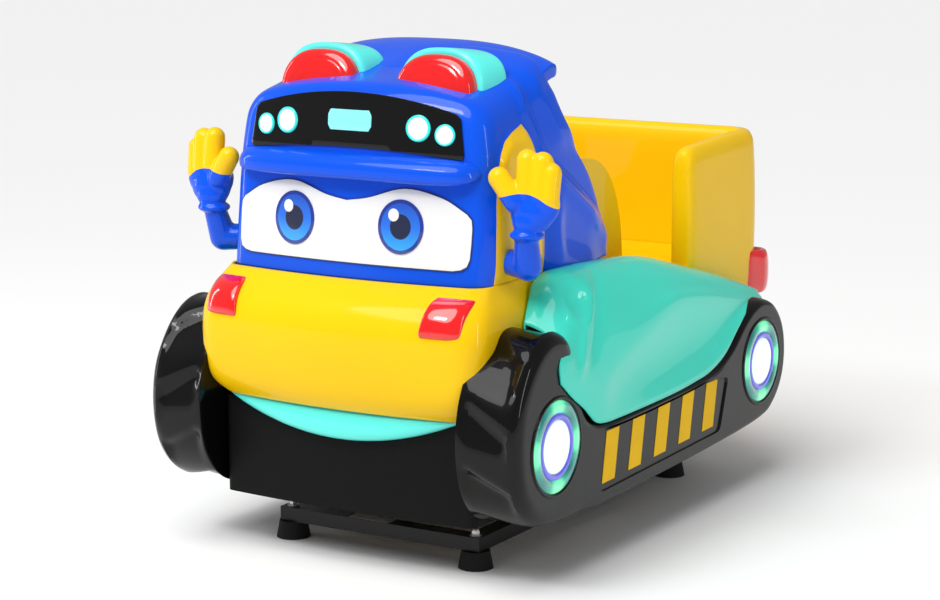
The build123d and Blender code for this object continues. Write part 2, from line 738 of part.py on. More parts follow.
def fender():
    """Left fender: a thin cover over the track, open to the inside and below."""
    first, last = FENDER_STATIONS[0], FENDER_STATIONS[-1]
    longer = [(first[0] - 5, *first[1:]), *FENDER_STATIONS[1:-1], (last[0] + 5, *last[1:])]
    shell = fender_solid(0, FENDER_STATIONS) - fender_solid(SKIN, longer)
    shell -= track_solid(TRACK_IN - 30, TRACK_OUT + 10, grow=GAP)
    well = WELL_HALF + GAP
    shell -= block((0, well), (WELL_FRONT - GAP, TUB_FRONT), (0, WELL_TOP + GAP))
    return biggest(shell - face_solid(GAP, WELL_FRONT) - cab_loft(GAP))


# ---------------------------------------------------------------- seat tub and footwell
def tub_plan(inset, front):
    """Rounded rear outline of the seat tub."""
    half, rear, corner = TUB_HALF - inset, TUB_REAR - inset, TUB_CORNER - inset
    face = polygon([(-half, front), (half, front), (half, rear), (-half, rear)])
    return fillet([v for v in face.vertices() if v.Y > 300], corner)


def tub_prism(inset, front, z0, z1):
    """Solid of the tub's plan outline."""
    return Pos(0, 0, z0) * extrude(tub_plan(inset, front), z1 - z0)


def tub_shell():
    """Double-skinned U of side walls and backrest, open below."""
    body = tub_prism(0, TUB_FRONT, TUB_BOTTOM, TUB_TOP)
    body -= tub_prism(TUB_WALL, TUB_FRONT - 50, TUB_BOTTOM - 1, TUB_TOP + 1)
    body = fillet(body.edges().filter_by(lambda e: e.center().Z > TUB_TOP - 0.1), 22)
    core = tub_prism(SKIN, TUB_FRONT + SKIN, TUB_BOTTOM - 1, TUB_TOP - SKIN - 8)
    core -= tub_prism(TUB_WALL - SKIN, TUB_FRONT - 50, TUB_BOTTOM - 2, TUB_TOP + 1)
    body -= core
    opening = (-DOOR_HALF - DOOR_GAP, DOOR_HALF + DOOR_GAP)
    height = (DOOR_Z[0] - DOOR_GAP, DOOR_Z[1] + DOOR_GAP)
    body -= block(opening, (TUB_REAR - SKIN - 1, TUB_REAR + 1), height)
    envelope = track_solid(TRACK_IN - GAP, TRACK_OUT, grow=GAP)
    return body - envelope - mirror(envelope, about=Plane.YZ)


def seat_bench():
    """Moulded bench with a front drop panel, between the tub walls."""
    half = TUB_HALF - TUB_WALL - 1
    rear = TUB_REAR - TUB_WALL - 1
    top = block((-half, half), (TUB_FRONT + 5, rear), (BENCH_TOP - SKIN, BENCH_TOP))
    top -= block((-400, 400), (rear - 16, rear + 1), (0, BENCH_TOP - SKIN))
    drop = block((-half, half), (TUB_FRONT + 5, TUB_FRONT + 5 + SKIN), (TUB_BOTTOM, BENCH_TOP))
    bench = top + drop
    corners = bench.edges().filter_by(Axis.Z).filter_by(lambda e: e.center().Y > rear - 5)
    return fillet(corners, TUB_CORNER - TUB_WALL)


def footwell():
    """Open tray where the rider's feet stand."""
    rear = TUB_FRONT - GAP
    tray = block((-WELL_HALF, WELL_HALF), (WELL_FRONT, rear), (WELL_FLOOR, WELL_TOP))
    inside = (WELL_FRONT + SKIN, rear - SKIN)
    tray -= block((-WELL_HALF + SKIN, WELL_HALF - SKIN), inside, (WELL_FLOOR + SKIN, WELL_TOP + 1))
    rear_lip = block((-WELL_HALF + SKIN, WELL_HALF - SKIN), (rear - SKIN - 1, rear + 1), (BENCH_TOP - 20, WELL_TOP + 1))
    envelope = track_solid(TRACK_IN - GAP, TRACK_OUT, grow=GAP)
    sill = side_prism(
        polygon([(FENDER_BREAK, WELL_TOP), (rear + 1, BENCH_TOP + 10), (rear + 1, 700), (FENDER_BREAK, 700)]), -400, 400
    )
    return tray - rear_lip - sill - envelope - mirror(envelope, about=Plane.YZ)


def tail_lamp():
    """Left tail lamp, wrapped round the rear corner of the tub."""
    outline = polygon([(588, 418), (690, 408), (HALF_LENGTH, 432), (HALF_LENGTH, 500), (690, 524), (594, 532)])
    lens = side_prism(outline, 276, TUB_HALF + 9)
    lens -= tub_prism(-0.3, TUB_FRONT, TUB_BOTTOM - 50, TUB_TOP)
    outer = [e for e in lens.edges().filter_by(Axis.X) if e.center().Y > HALF_LENGTH - 1]
    return biggest(fillet(outer, 12))


# ---------------------------------------------------------------- dash
DASH = Plane(origin=DASH_CENTRE, x_dir=(-1, 0, 0), z_dir=DASH_NORMAL)
COIN_X = 140.0
START_X = -140.0


def dash_console():
    """Console with two rounded cheeks, a sloping panel and a knee wall."""
    cheek_face = make_face([
        *Polyline((-40, WELL_FLOOR + SKIN + 1), (-40, 610), (-110, 790), (-60, 806), (5, 800)).edges(),
        *Spline((5, 800), (78, 762), (128, 683), (150, 560), (154, WELL_FLOOR + SKIN + 1)).edges(),
        Line((154, WELL_FLOOR + SKIN + 1), (-40, WELL_FLOOR + SKIN + 1)),
    ])
    inner = DASH_HALF - 1
    body = side_prism(cheek_face, inner, inner + CHEEK_T) + side_prism(cheek_face, -inner - CHEEK_T, -inner)
    body += DASH * Pos(0, 0, -SKIN / 2) * Box(2 * DASH_HALF, DASH_LONG, SKIN)
    low_end = DASH.from_local_coords(Vector(0, -DASH_LONG / 2, 0))
    top_end = DASH.from_local_coords(Vector(0, DASH_LONG / 2, 0))
    body += block((-DASH_HALF, DASH_HALF), (low_end.Y - SKIN, low_end.Y), (WELL_FLOOR + SKIN + 1, low_end.Z + 2))
    body += block((-DASH_HALF, DASH_HALF), (-108, top_end.Y), (top_end.Z - SKIN, top_end.Z))
    body -= DASH * Pos(COIN_X, 0, 0) * Box(71, 101, 40)
    body -= DASH * Pos(START_X, 0, 0) * Cylinder(BUTTON_R + 4, 40)
    for row in range(5):
        for column in range(9):
            body -= rod_y(3, -48 + column * 12, (low_end.Y - 20, low_end.Y + 5), 440 + row * 12)
    return body - cab_solid(GAP)


def steering_parts():
    """Column, three-spoke wheel and horn button."""
    collar = Cylinder(22, COLUMN_LONG - 6, align=(Align.CENTER, Align.CENTER, Align.MIN))
    save("steering_column", DASH * (Pos(0, 0, 0.2) * collar + Pos(0, 0, 0.2) * Cylinder(
        COLUMN_R, COLUMN_LONG + 10, align=(Align.CENTER, Align.CENTER, Align.MIN))))
    hub_low = COLUMN_LONG - 4
    wheel = Pos(0, 0, hub_low + HUB_T / 2) * Cylinder(HUB_R, HUB_T)
    wheel += Pos(0, 0, hub_low + HUB_T / 2 + 6) * Torus(STEER_R, STEER_GRIP_R)
    for turn in (90, 210, 330):
        spoke = Pos(STEER_R / 2 + 6, 0, hub_low + HUB_T / 2 + 2) * Box(STEER_R - 18, 20, 8)
        wheel += Rot(0, 0, turn) * spoke
    wheel -= Pos(0, 0, hub_low) * Cylinder(COLUMN_R + RUNNING, 2 * 15)
    wheel -= Pos(0, 0, hub_low + HUB_T) * Cylinder(HORN_R + SLIDE_FIT, 2 * 9)
    save("steering_wheel", DASH * wheel)
    horn = Pos(0, 0, hub_low + HUB_T - 5 + 5) * Cylinder(HORN_R, 10)
    save("horn_button", DASH * Pos(0, 0, 0.5) * horn)


def dash_parts():
    """Start button with its bezel, and the coin mechanism with its reject button."""
    bezel = Pos(START_X, 0, 2) * Cylinder(BUTTON_R + 8, 3.6)
    bezel += Pos(START_X, 0, -16) * Cylinder(BUTTON_R + 3.5, 34)
    bezel -= Pos(START_X, 0, 0) * Cylinder(BUTTON_R + SLIDE_FIT, 50)
    bezel += Pos(START_X, 0, -34.5) * Cylinder(BUTTON_R + 3.5, 4)
    save("start_bezel", DASH * bezel)
    save("start_button", DASH * Pos(START_X, 0, -2) * Cylinder(BUTTON_R, 18))
    plate = Pos(COIN_X, 0, 2.2) * Box(84, 114, 4)
    plate += Pos(COIN_X, 0, -30) * Box(70, 100, 61)
    plate -= Pos(COIN_X, 30, 0) * Box(4.5, 28, 40)
    plate -= Pos(COIN_X, -30, -20) * Box(44, 34, 80)
    plate += Pos(COIN_X, -30, -36) * Box(46, 36, 4)
    plate -= Pos(COIN_X + 22, 30, 0) * Cylinder(7.5, 20)
    save("coin_mech", DASH * plate)
    save("reject_button", DASH * Pos(COIN_X + 22, 30, 2) * Cylinder(7, 10))


def speaker_and_cash_box():
    """Speaker behind the knee wall, and the open cash box under the coin mechanism."""
    low_end = DASH.from_local_coords(Vector(0, -DASH_LONG / 2, 0))
    wall = low_end.Y - SKIN
    cash_x, cash_y = -COIN_X, wall - 70
    floor = WELL_FLOOR + SKIN + 0.2
    box = block((cash_x - 50, cash_x + 50), (cash_y - 55, cash_y + 55), (floor, floor + 110))
    box -= block((cash_x - 48, cash_x + 48), (cash_y - 53, cash_y + 53), (floor + 2, floor + 111))
    save("cash_box", box)
    cone = rod_y(62, 0, (wall - 12, wall - 0.3), 464) - rod_y(54, 0, (wall - 8, wall), 464)
    save("speaker", cone + rod_y(32, 0, (wall - 46, wall - 11), 464))


# ---------------------------------------------------------------- rear door and power
def rear_parts():
    """Access door, hinge, lock, power panel, switch and control box."""
    door = block((-DOOR_HALF, DOOR_HALF), (TUB_REAR - SKIN, TUB_REAR), DOOR_Z)
    knuckle_z = (DOOR_Z[0] + 36, DOOR_Z[1] - 36)
    door += block((HINGE_X, -DOOR_HALF + 18), (TUB_REAR + 0.4, TUB_REAR + 2.5), knuckle_z)
    door += block((-DOOR_HALF + 3, -DOOR_HALF + 18), (TUB_REAR - 1, TUB_REAR + 2.5), knuckle_z)
    door += block((HINGE_X - 2, HINGE_X + 2), (TUB_REAR + 0.4, HINGE_Y), knuckle_z)
    door += rod_z(KNUCKLE_R, HINGE_X, HINGE_Y, knuckle_z)
    door -= rod_z(HINGE_PIN_R + RUNNING, HINGE_X, HINGE_Y, (300, 600))
    middle = sum(DOOR_Z) / 2
    door -= rod_y(LOCK_R + RUNNING, LOCK_X, (TUB_REAR - 30, TUB_REAR + 30), middle)
    save("access_door", door)
    hinge = rod_z(HINGE_PIN_R, HINGE_X, HINGE_Y, DOOR_Z)
    for z in ((DOOR_Z[0], knuckle_z[0] - 0.5), (knuckle_z[1] + 0.5, DOOR_Z[1])):
        hinge += rod_z(KNUCKLE_R, HINGE_X, HINGE_Y, z)
        hinge += block((HINGE_X - 26, HINGE_X), (TUB_REAR + 0.3, TUB_REAR + 2.5), z)
        hinge += block((HINGE_X - 2.5, HINGE_X), (TUB_REAR + 0.3, HINGE_Y), z)
    save("door_hinge", hinge)
    lock = rod_y(LOCK_R, LOCK_X, (TUB_REAR - 14, TUB_REAR + 2), middle)
    lock += rod_y(LOCK_R + 3, LOCK_X, (TUB_REAR + 0.3, TUB_REAR + 3), middle)
    lock -= block((LOCK_X - 1, LOCK_X + 1), (TUB_REAR - 4, TUB_REAR + 4), (middle - 5, middle + 5))
    lock += block((LOCK_X - 8, LOCK_X + 8), (TUB_REAR - 14, TUB_REAR - 11), (middle - 42, middle))
    save("door_lock", lock)
    panel_y = SKIRT_REAR
    panel = block((150, 240), (panel_y + 0.3, panel_y + 3), (190, 250))
    panel += block((158, 186), (panel_y + 0.3, panel_y + 8), (205, 235))
    panel -= block((161, 183), (panel_y + 2, panel_y + 9), (209, 231))
    panel += block((202, 228), (panel_y + 2, panel_y + 8), (202, 238))
    panel -= block((204, 226), (panel_y - 1, panel_y + 9), (204, 236))
    save("power_panel", panel)
    rocker = rod_x(9, (205, 225), panel_y + 4, 220) & block((200, 230), (panel_y + 2.2, panel_y + 12), (206, 234))
    rocker = rocker + block((205, 225), (panel_y + 3, panel_y + 7), (208, 232))
    save("power_switch", rocker)
    deck = CARRIER_Z + TUBE + 0.2
    save("control_box", fillet(block((-120, 80), (340, 460), (deck, deck + 90)).edges().filter_by(Axis.Z), 6))


def body_bolts():
    """Dome-head bolts that fix the tracks to the lower body, inside the mouldings."""
    bolts = []
    for side in (-1, 1):
        for y in CROSS_YS:
            x = sorted((side * (SKIRT_HALF - SKIN - 9), side * (SKIRT_HALF - SKIN - 0.3)))
            bolts.append(rod_x(8, x, y, CARRIER_Z + TUBE / 2))
    return Compound(children=bolts)


def carriage_parts():
    """Everything that rocks."""
    save("rocker_axle", rod_x(AXLE_R, (-AXLE_HALF, AXLE_HALF), BASE_Y, PIVOT_Z))
    save("carrier_frame", carrier_frame())
    save("skirt_shell", skirt_shell())
    save("chin_strip", chin_strip())
    save("face_shell", face_shell())
    save("indicators", both_sides([indicator()]))
    save_pair("track", track())
    save("hazard_stripes", both_sides(hazard_stripes()))
    save("wheel_rings", both_sides(wheel_rings()))
    save("wheel_caps", both_sides(wheel_caps()))
    cab_parts()
    save_pair("arm", arm())
    save_pair("hand", hand())
    save_pair("fender", fender())
    save("tub_shell", tub_shell())
    save("seat_bench", seat_bench())
    save("footwell", footwell())
    save("tail_lamps", both_sides([tail_lamp()]))
    save("dash_console", dash_console())
    steering_parts()
    dash_parts()
    speaker_and_cash_box()
    rear_parts()
    save("body_bolts", body_bolts())


base_parts()
rod_parts()
carriage_parts()
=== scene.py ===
"""Looks of a coin-operated rocking ride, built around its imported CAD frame.

Every mesh is in metres in the frame's own axes: +Z up, the face looks along -Y, +X is the
rider's left.  Left-hand pieces are built once and mirrored for the right-hand side.
"""
import logging
import math
from dataclasses import dataclass, field
from enum import Enum
from typing import Callable, Sequence

import bmesh
import bpy
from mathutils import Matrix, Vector


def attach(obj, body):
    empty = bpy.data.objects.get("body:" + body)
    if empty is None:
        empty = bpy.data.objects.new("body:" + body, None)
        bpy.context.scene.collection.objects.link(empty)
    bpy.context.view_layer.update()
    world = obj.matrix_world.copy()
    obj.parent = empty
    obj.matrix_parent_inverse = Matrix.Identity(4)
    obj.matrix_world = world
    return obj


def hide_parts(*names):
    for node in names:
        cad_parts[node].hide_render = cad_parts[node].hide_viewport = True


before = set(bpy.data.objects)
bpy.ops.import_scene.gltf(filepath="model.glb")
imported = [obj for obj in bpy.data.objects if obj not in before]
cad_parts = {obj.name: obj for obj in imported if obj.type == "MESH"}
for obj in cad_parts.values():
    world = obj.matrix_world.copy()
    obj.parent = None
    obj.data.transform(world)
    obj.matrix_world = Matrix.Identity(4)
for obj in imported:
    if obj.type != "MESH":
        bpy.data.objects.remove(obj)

Point = tuple[float, float, float]
Flat = tuple[float, float]
Corners = list[bmesh.types.BMVert]
Piece = bpy.types.Object
Socket = bpy.types.NodeSocket

log = logging.getLogger("ride")
BODY = "carriage"
SHIFT = 1.0  # added to y, so that a shader curve can hold it
LEAF_FRONT = ((0.606, 0.447), (0.72, 0.452), (0.82, 0.464), (0.885, 0.495), (0.918, 0.575))
LEAF_REAR = ((0.606, 0.640), (0.72, 0.640), (0.82, 0.630), (0.885, 0.606), (0.918, 0.580))


class Side(Enum):
    """The two sides of the ride, named as the rider sees them."""

    LEFT = 1
    RIGHT = -1

    @property
    def word(self) -> str:
        """The side's name as the frame's nodes spell it."""
        return self.name.lower()


# ------------------------------------------------------------------ finishes
class Graph:
    """A small builder of shader nodes."""

    def __init__(self, name: str) -> None:
        """Start a material with an empty tree but for its surface shader."""
        self.material = bpy.data.materials.new(name)
        self.material.use_nodes = True
        self.tree = self.material.node_tree
        self.shader = self.tree.nodes["Principled BSDF"]

    def add(self, kind: str, **settings: object) -> bpy.types.Node:
        """Add a node and set its properties, or its inputs when they bear the name.

        Args:
            kind: Blender's node type.
            **settings: property or input values.
        Returns:
            The new node.
        """
        node = self.tree.nodes.new(kind)
        for key, value in settings.items():
            socket = key.replace("_", " ").title()
            if hasattr(node, key):
                setattr(node, key, value)
            else:
                node.inputs[socket].default_value = value
        return node

    def link(self, source: Socket, target: Socket) -> None:
        """Join an output to an input."""
        self.tree.links.new(source, target)

    def set(self, **values: object) -> None:
        """Set the surface shader's own sockets."""
        for key, value in values.items():
            self.shader.inputs[key.replace("_", " ")].default_value = value

    def place(self) -> Socket:
        """The point's place in the row's axes."""
        return self.add("ShaderNodeTexCoord").outputs["Object"]

    def noise(self, scale: float, detail: float = 3.0) -> Socket:
        """A noise value that follows the place."""
        node = self.add("ShaderNodeTexNoise")
        node.inputs["Scale"].default_value = scale
        node.inputs["Detail"].default_value = detail
        self.link(self.place(), node.inputs["Vector"])
        return node.outputs["Fac"]

    def math(self, kind: str, first: object, second: object = 0.0) -> Socket:
        """A math node of two values or sockets."""
        node = self.tree.nodes.new("ShaderNodeMath")
        node.operation = kind
        for socket, value in zip(node.inputs, (first, second)):
            if isinstance(value, Socket):
                self.link(value, socket)
            else:
                socket.default_value = value
        return node.outputs[0]

    def ramp(self, value: Socket, stops: Sequence[tuple[float, tuple]]) -> Socket:
        """A colour ramp over a value."""
        node = self.add("ShaderNodeValToRGB")
        elements = node.color_ramp.elements
        while len(elements) < len(stops):
            elements.new(0.5)
        for element, (position, colour) in zip(elements, stops):
            element.position = position
            element.color = (*colour[:3], 1.0)
        self.link(value, node.inputs["Fac"])
        return node.outputs["Color"]

    def mix(self, factor: object, first: object, second: object) -> Socket:
        """Mix two colours, each a colour or a socket."""
        node = self.tree.nodes.new("ShaderNodeMix")
        node.data_type = "RGBA"
        for socket, value in ((node.inputs[0], factor), (node.inputs[6], first), (node.inputs[7], second)):
            if isinstance(value, Socket):
                self.link(value, socket)
            else:
                socket.default_value = value if isinstance(value, float) else (*value[:3], 1.0)
        return node.outputs[2]

    def bump(self, height: Socket, strength: float, distance: float) -> None:
        """Raise the surface by a height value."""
        node = self.add("ShaderNodeBump")
        node.inputs["Strength"].default_value = strength
        node.inputs["Distance"].default_value = distance
        self.link(height, node.inputs["Height"])
        self.link(node.outputs["Normal"], self.shader.inputs["Normal"])

    def curve(self, value: Socket, points: Sequence[Flat]) -> Socket:
        """A smooth curve through points, with both axes in metres from 0 to 1."""
        node = self.add("ShaderNodeFloatCurve")
        line = node.mapping.curves[0]
        while len(line.points) < len(points):
            line.points.new(0.5, 0.5)
        for point, spot in zip(line.points, points):
            point.location = spot
        node.mapping.update()
        self.link(value, node.inputs["Value"])
        return node.outputs[0]


@dataclass(frozen=True)
class Gelcoat:
    """Polished fibreglass: a deep colour under a clear coat, very slightly wavy."""

    name: str
    colour: Point
    roughness: float = 0.3
    coat: float = 0.55
    variation: float = 0.06
    specular: float = 0.25

    def graph(self) -> Graph:
        """Build the node tree and return it for further layers."""
        graph = Graph(self.name)
        darker = tuple(c * (1.0 - self.variation) for c in self.colour)
        base = graph.mix(graph.noise(3.5), self.colour, darker)
        graph.link(base, graph.shader.inputs["Base Color"])
        graph.set(Roughness=self.roughness, Specular_IOR_Level=self.specular)
        graph.set(Coat_Weight=self.coat, Coat_Roughness=0.04)
        graph.bump(graph.noise(9.0, 1.0), 0.25, 0.0035)
        return graph

    def material(self) -> bpy.types.Material:
        """The finished material."""
        return self.graph().material


@dataclass(frozen=True)
class TwoTone(Gelcoat):
    """Gelcoat painted in two colours, divided where a rule on the place says."""

    second: Point = (1.0, 1.0, 1.0)
    rule: Callable[[Graph], Socket] = field(default=lambda graph: graph.noise(1.0))

    def material(self) -> bpy.types.Material:
        """The finished material."""
        graph = self.graph()
        old = graph.shader.inputs["Base Color"].links[0].from_socket
        graph.link(graph.mix(self.rule(graph), old, self.second), graph.shader.inputs["Base Color"])
        return graph.material


@dataclass(frozen=True)
class Satin:
    """Powder coat, rubber or textured plastic with a fine grain."""

    name: str
    colour: Point
    roughness: float = 0.5
    grain: float = 400.0
    depth: float = 0.0004
    metallic: float = 0.0
    specular: float = 0.35

    def material(self) -> bpy.types.Material:
        """The finished material."""
        graph = Graph(self.name)
        darker = tuple(c * 0.8 for c in self.colour)
        graph.link(graph.mix(graph.noise(12.0), self.colour, darker), graph.shader.inputs["Base Color"])
        graph.set(Roughness=self.roughness, Metallic=self.metallic, Specular_IOR_Level=self.specular)
        graph.bump(graph.noise(self.grain), 0.35, self.depth)
        return graph.material


@dataclass(frozen=True)
class Metal:
    """Bare or plated metal with drawn marks along one axis."""

    name: str
    colour: Point
    roughness: float = 0.32

    def material(self) -> bpy.types.Material:
        """The finished material."""
        graph = Graph(self.name)
        mapping = graph.add("ShaderNodeMapping")
        mapping.inputs["Scale"].default_value = (4.0, 220.0, 220.0)
        graph.link(graph.place(), mapping.inputs["Vector"])
        marks = graph.add("ShaderNodeTexNoise")
        marks.inputs["Scale"].default_value = 3.0
        graph.link(mapping.outputs["Vector"], marks.inputs["Vector"])
        darker = tuple(c * 0.72 for c in self.colour)
        graph.link(graph.mix(marks.outputs["Fac"], self.colour, darker), graph.shader.inputs["Base Color"])
        graph.set(Metallic=1.0, Roughness=self.roughness)
        graph.bump(marks.outputs["Fac"], 0.15, 0.0002)
        return graph.material


@dataclass(frozen=True)
class Lens:
    """Clear moulded plastic over a lamp, with a soft inner glow."""

    name: str
    colour: Point
    glow: float = 0.0
    roughness: float = 0.12

    def material(self) -> bpy.types.Material:
        """The finished material."""
        graph = Graph(self.name)
        deeper = tuple(c * 0.75 for c in self.colour)
        graph.link(graph.mix(graph.noise(14.0), self.colour, deeper), graph.shader.inputs["Base Color"])
        graph.set(Roughness=self.roughness, Coat_Weight=1.0, Coat_Roughness=0.03)
        graph.set(Emission_Color=(*self.colour, 1.0), Emission_Strength=self.glow)
        graph.bump(graph.noise(120.0), 0.08, 0.0005)
        return graph.material


BLUE = (0.001, 0.088, 0.78)
YELLOW = (0.98, 0.60, 0.003)
TURQUOISE = (0.055, 0.79, 0.62)
CYAN = (0.12, 0.92, 0.83)
BLACK = (0.002, 0.002, 0.0022)


def leaf_rule(graph: Graph) -> Socket:
    """Leaf-shaped panel on the side of the cab.

    Args:
        graph: the tree to build in.
    Returns:
        One inside the leaf, nought outside.
    """
    split = graph.add("ShaderNodeSeparateXYZ")
    graph.link(graph.place(), split.inputs[0])
    across = graph.math("ADD", split.outputs["Y"], SHIFT)
    front = graph.curve(split.outputs["Z"], ((0.0, 0.43), *LEAF_FRONT, (1.0, 0.9)))
    rear = graph.curve(split.outputs["Z"], ((0.0, 0.66), *LEAF_REAR, (1.0, 0.5)))
    behind = graph.math("GREATER_THAN", across, front)
    ahead = graph.math("LESS_THAN", across, rear)
    inside = graph.math("MULTIPLY", behind, ahead)
    side = graph.math("GREATER_THAN", graph.math("ABSOLUTE", split.outputs["X"]), 0.262)
    return graph.math("MULTIPLY", inside, side)


def glove_rule(graph: Graph) -> Socket:
    """Dividing line between the palm and the fingers.

    Args:
        graph: the tree to build in.
    Returns:
        One on the palm, nought on the fingers.
    """
    split = graph.add("ShaderNodeSeparateXYZ")
    graph.link(graph.place(), split.inputs[0])
    out = graph.math("ABSOLUTE", split.outputs["X"])
    palm = ((0.33, 0.790), (0.38, 0.800), (0.41, 0.796), (0.44, 0.778), (0.46, 0.768))
    line = graph.curve(out, ((0.0, 0.80), *palm, (1.0, 0.75)))
    return graph.math("LESS_THAN", split.outputs["Z"], line)


def ring_light() -> bpy.types.Material:
    """Green light ring, brighter in front of its four lamps."""
    graph = Graph("ring_light")
    centred = graph.add("ShaderNodeVectorMath", operation="SUBTRACT")
    graph.link(graph.add("ShaderNodeTexCoord").outputs["Generated"], centred.inputs[0])
    centred.inputs[1].default_value = (0.5, 0.5, 0.5)
    split = graph.add("ShaderNodeSeparateXYZ")
    graph.link(centred.outputs[0], split.inputs[0])
    angle = graph.math("ARCTAN2", split.outputs["Z"], split.outputs["Y"])
    wave = graph.math("COSINE", graph.math("MULTIPLY", angle, 4.0))
    level = graph.math("MULTIPLY", graph.math("ADD", wave, 1.0), 0.5)
    dark, middle, bright = (0.0, 0.16, 0.15), (0.01, 0.36, 0.24), (0.16, 0.95, 0.45)
    colour = graph.ramp(level, ((0.0, dark), (0.55, middle), (1.0, bright)))
    graph.link(colour, graph.shader.inputs["Base Color"])
    graph.link(colour, graph.shader.inputs["Emission Color"])
    graph.set(Roughness=0.25, Coat_Weight=1.0, Emission_Strength=0.55)
    return graph.material


def eye_print() -> bpy.types.Material:
    """Printed eye: dark rim, blue iris that lightens downwards and a round pupil."""
    graph = Graph("eye_print")
    centred = graph.add("ShaderNodeVectorMath", operation="SUBTRACT")
    graph.link(graph.add("ShaderNodeTexCoord").outputs["Generated"], centred.inputs[0])
    centred.inputs[1].default_value = (0.5, 0.5, 0.5)
    flat = graph.add("ShaderNodeVectorMath", operation="MULTIPLY")
    graph.link(centred.outputs[0], flat.inputs[0])
    flat.inputs[1].default_value = (2.0, 0.0, 2.0)
    length = graph.add("ShaderNodeVectorMath", operation="LENGTH")
    graph.link(flat.outputs[0], length.inputs[0])
    split = graph.add("ShaderNodeSeparateXYZ")
    graph.link(centred.outputs[0], split.inputs[0])
    iris = graph.ramp(
        graph.math("ADD", split.outputs["Z"], 0.5),
        ((0.0, (0.03, 0.42, 0.85)), (0.5, (0.012, 0.16, 0.78)), (1.0, (0.008, 0.07, 0.5))),
    )
    pupil = graph.math("LESS_THAN", length.outputs["Value"], 0.46)
    rim = graph.math("GREATER_THAN", length.outputs["Value"], 0.86)
    inner = graph.mix(pupil, iris, (0.004, 0.01, 0.05))
    graph.link(graph.mix(rim, inner, (0.006, 0.03, 0.30)), graph.shader.inputs["Base Color"])
    graph.set(Roughness=0.15, Coat_Weight=1.0, Coat_Roughness=0.03)
    return graph.material


FINISHES: dict[str, bpy.types.Material] = {}


def make_finishes() -> None:
    """Build every material once."""
    finishes = (
        TwoTone("cab_paint", BLUE, second=YELLOW, rule=leaf_rule, coat=0.45, specular=0.08),
        TwoTone("glove_paint", YELLOW, second=BLUE, rule=glove_rule, coat=0.4, specular=0.08),
        Gelcoat("blue", BLUE, coat=0.45, specular=0.08),
        Gelcoat("yellow", YELLOW, variation=0.1, coat=0.32, specular=0.06),
        Gelcoat("turquoise", TURQUOISE, coat=0.5, specular=0.12),
        Gelcoat("cyan", CYAN),
        Gelcoat("black", BLACK, roughness=0.28, coat=0.45, specular=0.05),
        Gelcoat("visor_black", BLACK, roughness=0.2, coat=0.6, specular=0.1),
        Satin("skirt_black", (0.007, 0.007, 0.007), roughness=0.5, grain=60.0, depth=0.0006, specular=0.08),
        Gelcoat("white", (0.86, 0.86, 0.86), roughness=0.2, variation=0.02),
        Gelcoat("navy", (0.01, 0.03, 0.18)),
        Satin("steel_black", (0.006, 0.006, 0.0065), roughness=0.34, grain=700.0, specular=0.3),
        Satin("rubber", (0.012, 0.012, 0.012), roughness=0.75, grain=900.0, specular=0.2),
        Satin("control_black", (0.02, 0.02, 0.022), roughness=0.45, grain=1200.0),
        Satin("stripe_yellow", (0.98, 0.58, 0.004), roughness=0.45, grain=500.0, depth=0.0002, specular=0.08),
        Satin("box_grey", (0.36, 0.37, 0.38), roughness=0.5),
        Satin("motor_blue", (0.03, 0.07, 0.14), roughness=0.4, grain=300.0),
        Metal("zinc", (0.62, 0.62, 0.60)),
        Metal("machined", (0.50, 0.51, 0.53), roughness=0.25),
        Metal("cast_alloy", (0.42, 0.43, 0.45), roughness=0.5),
        Satin("plate", (0.55, 0.55, 0.56), roughness=0.4, grain=800.0, depth=0.0001),
        Lens("red_lens", (0.90, 0.002, 0.003), glow=0.05),
        Lens("red_button", (0.8, 0.02, 0.02), glow=0.1),
        Lens("green_button", (0.05, 0.62, 0.1), glow=0.25),
        Lens("badge", (0.25, 0.83, 0.88), glow=0.25),
        Lens("lamp_white", (0.90, 1.0, 0.97), glow=0.75),
        Lens("lamp_rim", (0.02, 0.62, 0.58), glow=0.6),
        Lens("violet", (0.11, 0.10, 0.72), glow=0.35),
        Lens("cap_white", (0.78, 0.98, 0.90), glow=0.55),
    )
    for finish in finishes:
        FINISHES[finish.name] = finish.material()
    FINISHES["ring_light"] = ring_light()
    FINISHES["eye_print"] = eye_print()


# ------------------------------------------------------------------ mesh helpers
def new_piece(name: str, verts: Sequence[Point], faces: Sequence[Sequence[int]], finish: str) -> Piece:
    """Make an object with outward normals, smooth faces and a finish.

    Args:
        name: the piece's name.
        verts: corner points.
        faces: corner numbers of each face.
        finish: a name in FINISHES.
    Returns:
        The new object.
    """
    mesh = bpy.data.meshes.new(name)
    mesh.from_pydata([tuple(v) for v in verts], [], [list(f) for f in faces])
    work = bmesh.new()
    work.from_mesh(mesh)
    bmesh.ops.remove_doubles(work, verts=work.verts, dist=1e-6)
    bmesh.ops.recalc_face_normals(work, faces=work.faces)
    for face in work.faces:
        face.smooth = True
    work.to_mesh(mesh)
    work.free()
    mesh.materials.append(FINISHES[finish])
    piece = bpy.data.objects.new(name, mesh)
    bpy.context.scene.collection.objects.link(piece)
    return piece


